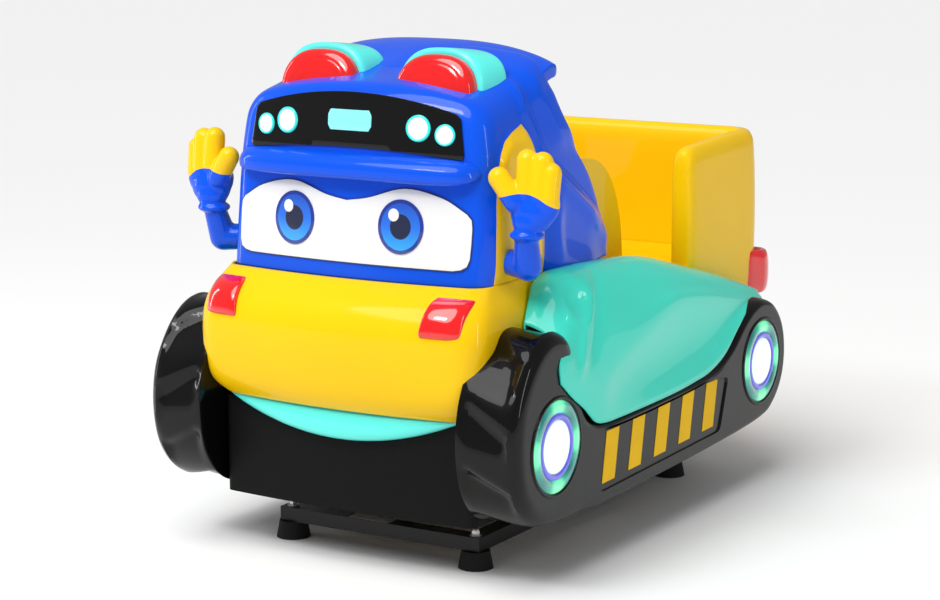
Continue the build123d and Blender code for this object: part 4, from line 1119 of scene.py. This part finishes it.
@dataclass
class Track:
    """Black track moulding with a lugged front hood, wheel lights and the striped panel."""

    inner: float = 0.3105
    outer: float = 0.450
    outline: tuple[Flat, ...] = (
        (-0.525, 0.127), (-0.620, 0.148), (-0.682, 0.212), (-0.704, 0.300), (-0.694, 0.390), (-0.654, 0.462),
        (-0.600, 0.512), (-0.540, 0.529), (-0.482, 0.510), (-0.445, 0.455), (-0.420, 0.380), (-0.385, 0.325),
        (-0.300, 0.306), (-0.050, 0.308), (0.170, 0.320), (0.270, 0.352), (0.345, 0.405), (0.400, 0.432),
        (0.455, 0.440), (0.520, 0.420), (0.570, 0.365), (0.586, 0.295), (0.570, 0.228), (0.520, 0.175),
        (0.440, 0.150), (0.180, 0.136), (-0.150, 0.128), (-0.380, 0.126),
    )
    wheels: tuple[Flat, Flat] = ((-0.540, 0.295), (0.440, 0.295))
    count: int = 420

    def lug(self, spot: Vector, across: float) -> float:
        """Depth of the moulded hollows between the lugs of the front hood."""
        centre = Vector(self.wheels[0])
        arm = spot - centre
        angle = math.degrees(math.atan2(arm.y, -arm.x))
        reach = ease((angle + 115) / 25) * ease((125 - angle) / 25) if spot.x < -0.38 else 0.0
        phase = ((angle + 26.0 * across) / 44.0) % 1.0
        slope = 0.013 * (phase / 0.72) ** 1.5 if phase < 0.72 else 0.013 * ease((1.0 - phase) / 0.28)
        side = ease((across - 0.04) / 0.1) * ease((0.86 - across) / 0.12)
        return reach * side * slope

    def shell(self) -> Piece:
        """Closed skin: tread band, soft shoulders, flat sides and the sunk panel."""
        loop = smooth_loop(self.outline, self.count)
        profile = (
            (0.0, 0.020), (0.0, 0.006), (0.02, 0.001), (0.08, 0.0),
            *((across, 0.0) for across in spread(0.15, 0.71, 8)),
            (0.78, 0.001), (0.85, 0.003), (0.91, 0.007), (0.955, 0.013),
            (0.985, 0.021), (1.0, 0.031), (1.0, 0.040),
        )
        rings = []
        for across, inset in profile:
            ring = []
            for i, spot in enumerate(loop):
                ahead = (loop[(i + 1) % self.count] - loop[i - 1]).normalized()
                inward = Vector((ahead.y, -ahead.x))
                deep = inset + (self.lug(spot, across) if 0.02 < across < 0.999 else 0.0)
                if across >= 0.70:
                    calm = ease((spot.x + 0.44) / 0.1)
                    deep = mix(deep, inset * 0.5, calm)
                place = spot + inward * deep
                ring.append((mix(self.inner, self.outer, across), place.x, place.y))
            rings.append(ring)
        piece = loft("track_left_skin", rings, "black")
        work = bmesh.new()
        work.from_mesh(piece.data)
        work.verts.ensure_lookup_table()
        inner_ring = [work.verts[i] for i in range(self.count)]
        outer_ring = [work.verts[(len(rings) - 1) * self.count + i] for i in range(self.count)]
        corners = [(-0.352, 0.158), (0.222, 0.172), (0.262, 0.290), (0.150, 0.300), (-0.345, 0.290)]
        rim = smooth_loop_corners(corners, 0.016)
        tops = [work.verts.new((self.outer, y, z)) for y, z in rim]
        floor = self.outer - 0.0042
        lows = [work.verts.new((floor, mix(y, -0.03, 0.012), mix(z, 0.225, 0.03))) for y, z in rim]
        for i in range(len(rim)):
            j = (i + 1) % len(rim)
            work.faces.new((tops[i], tops[j], lows[j], lows[i]))
        work.faces.new(lows)
        self.zip_rows(work, *self.rows(inner_ring))
        for edge, seam in zip(self.rows(outer_ring), self.rows(tops)):
            self.zip_rows(work, edge, [edge[0], *seam, edge[-1]])
        bmesh.ops.recalc_face_normals(work, faces=work.faces)
        for face in work.faces:
            face.smooth = True
        work.to_mesh(piece.data)
        work.free()
        piece.data.set_sharp_from_angle(angle=math.radians(38))
        bevel(piece, 0.0012, 2, 40.0)
        return piece

    def rows(self, ring: Corners) -> list[Corners]:
        """Split a closed edge at its front and back ends into its upper and lower rows."""
        count = len(ring)
        front = min(range(count), key=lambda k: ring[k].co.y)
        back = max(range(count), key=lambda k: ring[k].co.y)
        ahead = [ring[(front + k) % count] for k in range((back - front) % count + 1)]
        behind = [ring[(front - k) % count] for k in range((front - back) % count + 1)]
        return sorted((ahead, behind), key=lambda row: -row[len(row) // 2].co.z)

    def zip_rows(self, work: bmesh.types.BMesh, first: Corners, second: Corners) -> None:
        """Fill the flat strip between two rows of corners that run to the rear."""
        i = j = 0
        while i < len(first) - 1 or j < len(second) - 1:
            more = i < len(first) - 1
            step_first = j == len(second) - 1 or (more and first[i + 1].co.y <= second[j + 1].co.y)
            following = first[i + 1] if step_first else second[j + 1]
            corners = (first[i], second[j], following)
            if len(set(corners)) == 3:
                work.faces.new(corners)
            i, j = (i + 1, j) if step_first else (i, j + 1)

    def wheel_light(self, name: str, spot: Flat) -> list[Piece]:
        """Ring, violet band, cap and the black bezel round them."""
        centre = (0.0, *spot)
        x0, face = 0.440, 0.4505
        profiles = {
            "ring": ((0.068, 0.0), (0.072, 0.0035), (0.082, 0.0042), (0.092, 0.0025), (0.0955, -0.002)),
            "band": ((0.0555, 0.001), (0.058, 0.0025), (0.066, 0.0025), (0.0682, 0.0)),
            "cap": ((0.0003, 0.0028), (0.03, 0.0026), (0.050, 0.0018), (0.0545, 0.0003)),
            "bezel": ((0.0950, 0.0), (0.0972, 0.0025), (0.1010, 0.0025), (0.1035, 0.0)),
        }
        finishes = {"ring": "ring_light", "band": "violet", "cap": "cap_white", "bezel": "black"}
        parts = []
        for word, rise in profiles.items():
            profile = [(radius, face + high) for radius, high in rise]
            profile.append((0.0553 if word == "cap" else rise[-1][0], x0))
            if word != "cap":
                profile.insert(0, (rise[0][0], x0))
            parts.append(disc(f"{name}_{word}", centre, (1, 0, 0), profile, finishes[word], 64))
        return parts

    def build(self) -> None:
        """Make and register both sides."""
        left = self.shell()
        register(left, "black_gelcoat", "track_left")
        register(mirrored(left, "track_right_skin"), "black_gelcoat", "track_right")
        first = True
        slots = {"ring": "ring_green", "band": "ring_green", "cap": "lamp_white", "bezel": "black_gelcoat"}
        for word, spot in zip(("front", "rear"), self.wheels):
            for piece in self.wheel_light(f"wheel_{word}_left", spot):
                kind = piece.name.rsplit("_", 1)[1]
                nodes = {"ring": ("wheel_rings",), "cap": ("wheel_caps",)}.get(kind, ()) if first else ()
                register(piece, slots[kind], *nodes)
                register(mirrored(piece, piece.name.replace("left", "right")), slots[kind])
            first = False


def smooth_loop_corners(corners: Sequence[Flat], radius: float) -> list[Flat]:
    """Closed outline with each corner rounded.

    Args:
        corners: corner points in order.
        radius: how far from each corner the rounding starts.
    Returns:
        The rounded outline.
    """
    outline = []
    size = len(corners)
    for k in range(size):
        here = Vector(corners[k])
        back = (Vector(corners[k - 1]) - here).normalized() * radius
        ahead = (Vector(corners[(k + 1) % size]) - here).normalized() * radius
        for step in range(6):
            t = step / 5
            spot = (here + back) * (1 - t) ** 2 + here * 2 * t * (1 - t) + (here + ahead) * t**2
            outline.append((spot.x, spot.y))
    return outline


@dataclass
class Fender:
    """Turquoise cover over the track, with a dished nose and a slanting crease."""

    edge: tuple[Point, ...] = (
        (0.351, -0.500, 0.527), (0.372, -0.499, 0.522), (0.398, -0.498, 0.512), (0.425, -0.502, 0.498),
        (0.447, -0.520, 0.478), (0.4540, -0.534, 0.452), (0.4540, -0.528, 0.420),
    )
    second: tuple[Point, ...] = (
        (0.342, -0.468, 0.567), (0.368, -0.468, 0.566), (0.398, -0.468, 0.547), (0.425, -0.472, 0.520),
        (0.447, -0.486, 0.480), (0.4560, -0.498, 0.440), (0.4545, -0.482, 0.384),
    )
    third: tuple[Point, ...] = (
        (0.333, -0.434, 0.600), (0.365, -0.434, 0.603), (0.400, -0.434, 0.582), (0.428, -0.436, 0.535),
        (0.447, -0.446, 0.470), (0.4565, -0.452, 0.415), (0.4545, -0.432, 0.352),
    )
    stations: tuple[tuple[float, ...], ...] = (
        # y, lip x, z, ridge x, z, shoulder x, z, flank x, z, crease x, z, hollow x, z, hem x, z
        (-0.385, 0.326, 0.612, 0.366, 0.620, 0.404, 0.598, 0.432, 0.530,
         0.449, 0.450, 0.457, 0.385, 0.4545, 0.316),
        (-0.340, 0.324, 0.614, 0.368, 0.621, 0.408, 0.598, 0.438, 0.515,
         0.453, 0.425, 0.456, 0.370, 0.454, 0.305),
        (-0.270, 0.323, 0.612, 0.369, 0.619, 0.409, 0.594, 0.439, 0.520,
         0.4535, 0.435, 0.447, 0.370, 0.453, 0.303),
        (-0.180, 0.322, 0.608, 0.370, 0.614, 0.410, 0.586, 0.438, 0.525,
         0.453, 0.458, 0.440, 0.378, 0.4525, 0.303),
        (-0.080, 0.326, 0.602, 0.373, 0.607, 0.412, 0.577, 0.436, 0.532,
         0.451, 0.482, 0.436, 0.385, 0.4525, 0.304),
        (0.000, 0.334, 0.588, 0.375, 0.594, 0.413, 0.566, 0.434, 0.532,
         0.448, 0.495, 0.434, 0.390, 0.452, 0.306),
        (0.080, 0.343, 0.568, 0.378, 0.574, 0.414, 0.550, 0.431, 0.522,
         0.444, 0.492, 0.433, 0.395, 0.452, 0.311),
        (0.160, 0.350, 0.547, 0.381, 0.553, 0.414, 0.533, 0.428, 0.508,
         0.440, 0.483, 0.433, 0.400, 0.452, 0.320),
        (0.240, 0.353, 0.526, 0.384, 0.532, 0.412, 0.513, 0.424, 0.492,
         0.435, 0.471, 0.433, 0.410, 0.451, 0.346),
        (0.320, 0.353, 0.504, 0.386, 0.510, 0.409, 0.493, 0.419, 0.475,
         0.429, 0.458, 0.430, 0.425, 0.446, 0.393),
        (0.400, 0.354, 0.482, 0.387, 0.487, 0.406, 0.472, 0.414, 0.458,
         0.422, 0.446, 0.425, 0.436, 0.435, 0.424),
        (0.470, 0.355, 0.461, 0.388, 0.466, 0.402, 0.454, 0.408, 0.444,
         0.414, 0.437, 0.416, 0.432, 0.422, 0.427),
        (0.535, 0.357, 0.441, 0.388, 0.445, 0.396, 0.437, 0.400, 0.432,
         0.404, 0.428, 0.406, 0.425, 0.408, 0.421),
    )
    rows: int = 96
    columns: int = 44

    def control(self) -> list[list[Point]]:
        """Rows of seven guide points, from the front edge to the rear tip."""
        rows = [list(self.edge), list(self.second), list(self.third)]
        for station in self.stations:
            y, rest = station[0], station[1:]
            rows.append([(rest[k], y, rest[k + 1]) for k in range(0, 14, 2)])
        return rows

    def dent(self, x: float, y: float, z: float) -> float:
        """How far the skin is pressed in by the round dish on its nose."""
        if x < 0.352:
            return 0.0
        away = math.hypot((y + 0.408) / 0.036, (z - 0.572) / 0.040)
        dish = 0.013 * (1 - ease(away))
        rim = 0.005 * hump(away - 1.25, 0.3)
        line = -0.352 - 0.62 * (0.585 - z)
        ridge = 0.008 * hump(y - line, 0.016) * ease((z - 0.40) / 0.06) * ease((0.612 - z) / 0.02)
        groove = 0.005 * hump(y - line - 0.045, 0.02) * ease((z - 0.42) / 0.06)
        return dish - rim - ridge + groove

    def shell(self) -> Piece:
        """The cover as a thin open skin."""
        rows = self.control()
        rings = []
        for i in range(self.rows):
            place = i / (self.rows - 1) * (len(rows) - 1)
            guide = [
                tuple(through([(k, row[j][axis]) for k, row in enumerate(rows)], place) for axis in range(3))
                for j in range(7)
            ]
            lip_x, lip_y, lip_z = guide[0]
            ring = [(lip_x, lip_y, lip_z - 0.022), (lip_x - 0.0005, lip_y, lip_z - 0.006)]
            for j in range(self.columns):
                across = j / (self.columns - 1) * 6
                x, y, z = (through([(k, p[axis]) for k, p in enumerate(guide)], across) for axis in range(3))
                ring.append((min(x - self.dent(x, y, z), 0.4585), y, z))
            rings.append(ring)
        piece = loft("fender_left_skin", rings, "turquoise", closed=False)
        thicken(piece, 0.004)
        return piece

    def build(self) -> None:
        """Make and register both sides."""
        left = self.shell()
        register(left, "turquoise_gelcoat", "fender_left")
        register(mirrored(left, "fender_right_skin"), "turquoise_gelcoat", "fender_right")


@dataclass
class SeatTub:
    """Yellow seat surround with rolled edges, and its tail lamps."""

    half: float = 0.350
    front: float = 0.266
    rear: float = 0.675
    low: float = 0.352
    top: float = 0.814
    wall: float = 0.060
    corner: float = 0.085
    door_room: tuple[float, ...] = (0.1205, 0.640, 0.700, 0.3815, 0.4985)
    lock_room: tuple[float, ...] = (0.190, 0.622, 0.6665, 0.368, 0.530)

    def path(self) -> list[tuple[Vector, Vector]]:
        """Middle of the wall in plan with its outward direction, from the left round to the right."""
        inner = self.half - self.wall / 2
        back = self.rear - self.wall / 2
        round_ = self.corner - self.wall / 2
        spots = []
        for part in (0.0, 0.02, 0.06, 0.14, 0.3, 0.5, 0.7, 0.88, 1.0):
            spots.append((Vector((inner, mix(self.front, back - round_, part))), Vector((1.0, 0.0))))
        for c, s in arch(8, 8.0, 82.0):
            spots.append((Vector((inner - round_ + round_ * c, back - round_ + round_ * s)), Vector((c, s))))
        for part in (0.0, 0.2, 0.5):
            spots.append((Vector((mix(inner - round_, -inner + round_, part), back)), Vector((0.0, 1.0))))
        spots += [(Vector((-p.x, p.y)), Vector((-n.x, n.y))) for p, n in reversed(spots[:-1])]
        return spots

    def shell(self) -> Piece:
        """Closed wall with a soft rim and rounded front ends."""
        rings = []
        path = self.path()
        for index, (spot, out) in enumerate(path):
            from_end = min(index, len(path) - 1 - index)
            pinch = (0.55, 0.86, 0.97, 1.0)[min(from_end, 3)]
            cut = (0.030, 0.012, 0.003, 0.0)[min(from_end, 3)]
            h = self.wall / 2 * pinch
            low, top = self.low + 0.002, self.top - cut
            sag = 0.010 * ease((spot.y - 0.25) / 0.3)
            section = (
                (h, low), (h + 0.001, low + 0.05), (h + 0.004, 0.50), (h + 0.005, 0.62), (h + 0.002, 0.72),
                (h - 0.001, top - 0.045), (h - 0.003, top - 0.022), (h * 0.55, top - 0.003), (0.0, top),
                (-h * 0.55, top - 0.003), (-h + 0.003, top - 0.022), (-h, top - 0.045), (-h, 0.70),
                (-h, 0.60), (-h, 0.515), (-h + 0.006, low + 0.06), (-h + 0.006, low),
            )
            ring = []
            for across, z in section:
                height = z - (0.010 - sag if z > 0.7 else 0.0)
                place = spot + out * (across - (0.004 if across > 0 else 0.0))
                ring.append((place.x, place.y, height))
            rings.append(ring)
        piece = loft("seat_tub", rings, "yellow", caps=True)
        subdivide(piece)
        settle(piece)
        for block in (self.lock_room, self.door_room):
            self.hollow(piece, *block)
        piece.data.set_sharp_from_angle(angle=math.radians(50))
        return piece

    def hollow(self, piece: Piece, half: float, inner: float, outer: float, low: float, top: float) -> None:
        """Cut a block out of the wall.

        Args:
            piece: the tub.
            half: half the block's width.
            inner: depth of its front side.
            outer: depth of its rear side.
            low: height of its bottom.
            top: height of its top.
        """
        corners = [(across * half, y, z) for z in (low, top) for y in (inner, outer) for across in (-1, 1)]
        sides = [(0, 2, 3, 1), (4, 5, 7, 6), (0, 1, 5, 4), (2, 6, 7, 3), (0, 4, 6, 2), (1, 3, 7, 5)]
        cutter = new_piece("cutter", corners, sides, "yellow")
        cut = piece.modifiers.new("hollow", "BOOLEAN")
        cut.operation = "DIFFERENCE"
        cut.solver = "EXACT"
        cut.object = cutter
        settle(piece)
        bpy.data.objects.remove(cutter)

    def tail_lamp(self) -> Piece:
        """Left tail lamp wrapped round the rear corner."""
        rings = []
        for i in range(21):
            part = i / 20
            if part < 0.4:
                spot, out = Vector((self.half - 0.002, mix(0.578, 0.632, part / 0.4))), Vector((1.0, 0.0))
            elif part < 0.85:
                a = math.radians(90 * (part - 0.4) / 0.45)
                out = Vector((math.cos(a), math.sin(a)))
                spot = Vector((self.half - 0.047, 0.630)) + out * 0.045
            else:
                spot = Vector((mix(self.half - 0.047, 0.290, (part - 0.85) / 0.15), 0.675))
                out = Vector((0.0, 1.0))
            swell = math.sqrt(max(0.02, 1 - abs(2 * part - 1) ** 6))
            tall = 0.055 * swell**0.3
            ring = []
            for c, s in arch(11, -90.0, 90.0):
                proud = mix(0.010, 0.030, ease(part / 0.7)) * swell * abs(c) ** 0.45
                place = spot + out * (proud - 0.002)
                ring.append((place.x, place.y, mix(0.474, 0.465, part) + tall * signed(s, 0.7)))
            rings.append(ring)
        piece = loft("tail_lamp_left", rings, "red_lens", caps=True)
        subdivide(piece, 1)
        return piece

    def build(self) -> None:
        """Make and register the tub and lamps."""
        register(self.shell(), "yellow_gelcoat", "tub_shell")
        lamp = self.tail_lamp()
        register(lamp, "red_lens", "tail_lamps")
        register(mirrored(lamp, "tail_lamp_right"), "red_lens")


@dataclass
class GlovedArm:
    """Stub arm with a cuff and a raised four-finger glove."""

    shoulder: Point = (0.310, -0.500, 0.652)
    elbow: Point = (0.374, -0.526, 0.650)
    wrist: Point = (0.381, -0.543, 0.706)
    fingers: tuple[tuple[Point, Point, float, float], ...] = (
        # root, tip, root radius, tip radius
        ((0.384, -0.545, 0.800), (0.381, -0.540, 0.864), 0.0235, 0.0225),
        ((0.410, -0.543, 0.798), (0.413, -0.536, 0.860), 0.0240, 0.0225),
        ((0.428, -0.540, 0.790), (0.431, -0.534, 0.840), 0.0225, 0.0215),
        ((0.362, -0.555, 0.782), (0.329, -0.562, 0.828), 0.0235, 0.0225),
    )

    def balls(self, start: Point, end: Point, low: float, high: float) -> list[tuple[Vector, float]]:
        """Row of balls between two points."""
        first, last = Vector(start), Vector(end)
        count = max(2, int((last - first).length / 0.004))
        return [(first.lerp(last, i / count), mix(low, high, i / count)) for i in range(count + 1)]

    def cluster(
        self, name: str, balls: Sequence[tuple[Vector, float, Point]], voxel: float, finish: str,
    ) -> Piece:
        """Fuse overlapping balls into one smooth skin."""
        work = bmesh.new()
        for centre, radius, stretch in balls:
            made = bmesh.ops.create_icosphere(work, subdivisions=3, radius=radius)
            for vertex in made["verts"]:
                vertex.co = Vector(tuple(c * s for c, s in zip(vertex.co, stretch))) + centre
        mesh = bpy.data.meshes.new(name)
        work.to_mesh(mesh)
        work.free()
        mesh.materials.append(FINISHES[finish])
        piece = bpy.data.objects.new(name, mesh)
        bpy.context.scene.collection.objects.link(piece)
        remesh = piece.modifiers.new("fuse", "REMESH")
        remesh.mode = "VOXEL"
        remesh.voxel_size = voxel
        remesh.use_smooth_shade = True
        relax = piece.modifiers.new("relax", "SMOOTH")
        relax.factor = 0.6
        relax.iterations = 7
        settle(piece)
        return piece

    def glove(self) -> Piece:
        """Palm, three fingers and a thumb."""
        balls = [
            (Vector((0.395, -0.538, 0.780)), 0.057, (1.0, 0.50, 0.92)),
            (Vector((0.392, -0.541, 0.760)), 0.047, (1.0, 0.64, 0.9)),
            (Vector((0.388, -0.545, 0.742)), 0.036, (1.0, 0.80, 0.8)),
        ]
        for root, tip, low, high in self.fingers:
            balls += [(c, r, (1.0, 0.95, 1.0)) for c, r in self.balls(root, tip, low, high)]
        return self.cluster("glove_left", balls, 0.0026, "glove_paint")

    def arm(self) -> Piece:
        """Bent tube and the cuff ring."""
        row = self.balls(self.shoulder, self.elbow, 0.026, 0.0295)
        row += self.balls(self.elbow, self.wrist, 0.0295, 0.024)
        balls = [(c, r, (1.0, 1.0, 1.0)) for c, r in row]
        balls.append((Vector((0.383, -0.545, 0.716)), 0.036, (1.0, 0.95, 0.36)))
        balls.append((Vector((0.386, -0.547, 0.728)), 0.029, (1.0, 0.9, 0.8)))
        return self.cluster("arm_left_tube", balls, 0.0026, "blue")

    def build(self) -> None:
        """Make and register both sides."""
        arm, glove = self.arm(), self.glove()
        register(arm, "blue_gelcoat", "arm_left")
        register(glove, "yellow_gelcoat", "hand_left")
        register(mirrored(arm, "arm_right_tube"), "blue_gelcoat", "arm_right")
        register(mirrored(glove, "glove_right"), "yellow_gelcoat", "hand_right")


@dataclass
class Chassis:
    """Base, drive and fittings that keep their CAD shape and get their finish."""

    finishes: dict[str, tuple[str, ...]] = field(default_factory=lambda: {
        "steel_black": ("base_frame", "carrier_frame"),
        "rubber": ("rubber_feet",),
        "zinc": ("foot_bolts", "body_bolts", "coin_mech", "door_hinge", "door_lock"),
        "machined": ("pivot_bearings", "crank", "connecting_rod", "crank_pin", "rod_pin", "rocker_axle"),
        "cast_alloy": ("gearbox",),
        "motor_blue": ("motor", "fan_cowl"),
        "control_black": (
            "motor_fan", "steering_column", "steering_wheel", "start_bezel", "speaker", "power_panel",
        ),
        "plate": ("rating_plate",),
        "skirt_black": ("skirt_shell",),
        "stripe_yellow": ("hazard_stripes",),
        "yellow": ("seat_bench", "footwell", "dash_console", "access_door"),
        "red_button": ("horn_button", "reject_button", "power_switch"),
        "green_button": ("start_button",),
        "box_grey": ("cash_box", "control_box"),
    })

    def build(self) -> None:
        """Dress the CAD nodes that stay."""
        for finish, nodes in self.finishes.items():
            for node in nodes:
                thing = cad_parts[node]
                thing.data.materials.clear()
                thing.data.materials.append(FINISHES[finish])
                log.info("node %s dressed in %s", node, finish)


@dataclass
class Studio:
    """Pale floor, soft lights and the camera."""

    azimuth: float = 31.06
    elevation: float = 10.35
    camera_at: Point = (2.721, -4.644, 1.448)
    lens: float = 92.9
    floor_half: float = 30.0

    def area(self, name: str, at: Point, target: Point, size: Flat, power: float) -> None:
        """One soft light turned to a target."""
        light = bpy.data.lights.new(name, "AREA")
        light.shape = "RECTANGLE"
        light.size, light.size_y = size
        light.energy = power
        lamp = bpy.data.objects.new(name, light)
        lamp.location = at
        lamp.rotation_euler = (Vector(target) - Vector(at)).to_track_quat("-Z", "Y").to_euler()
        bpy.context.scene.collection.objects.link(lamp)

    def build(self) -> None:
        """Set the stage."""
        scene = bpy.context.scene
        camera = bpy.data.cameras.new("camera")
        camera.lens = self.lens
        camera.sensor_width = 36.0
        eye = bpy.data.objects.new("camera", camera)
        eye.location = self.camera_at
        eye.rotation_euler = (math.radians(90.0 - self.elevation), 0.0, math.radians(self.azimuth))
        scene.collection.objects.link(eye)
        scene.camera = eye
        half = self.floor_half
        corners = [(-half, -half, 0), (half, -half, 0), (half, half, 0), (-half, half, 0)]
        floor = new_piece("floor", corners, [(0, 1, 2, 3)], "white")
        floor.data.materials[0] = self.floor_finish()
        self.area("strip_left", (-3.6, -1.2, 1.5), (0, 0, 0.6), (0.30, 2.4), 18.0)
        self.area("strip_right", (3.6, -0.9, 1.6), (0, 0, 0.6), (0.18, 2.2), 14.0)
        self.area("window", (-0.6, -3.6, 3.8), (0, 0, 0.5), (1.3, 0.8), 48.0)
        sun = bpy.data.lights.new("sun", "SUN")
        sun.energy = 2.35
        sun.angle = math.radians(50.0)
        lamp = bpy.data.objects.new("sun", sun)
        lamp.rotation_euler = (Vector((0.1, 0.5, -0.85))).to_track_quat("-Z", "Y").to_euler()
        scene.collection.objects.link(lamp)
        world = bpy.data.worlds.new("world")
        world.use_nodes = True
        world.node_tree.nodes["Background"].inputs[0].default_value = (1.0, 1.0, 1.0, 1.0)
        world.node_tree.nodes["Background"].inputs[1].default_value = 0.34
        scene.world = world
        scene.view_settings.view_transform = "Standard"
        scene.view_settings.look = "None"

    def floor_finish(self) -> bpy.types.Material:
        """Pale matt floor."""
        graph = Graph("floor")
        graph.set(Base_Color=(0.93, 0.93, 0.93, 1.0), Roughness=0.9)
        return graph.material


def main() -> None:
    """Build the ride's looks in order, then its stage."""
    logging.basicConfig(level=logging.INFO, format="%(name)s: %(message)s")
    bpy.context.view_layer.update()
    make_finishes()
    for part in (Chassis(), Cab(), Muzzle(), RoofLamp(), Track(), Fender(), SeatTub(), GlovedArm()):
        log.info("building %s", type(part).__name__)
        part.build()
    Studio().build()


if __name__ == "__main__":
    main()
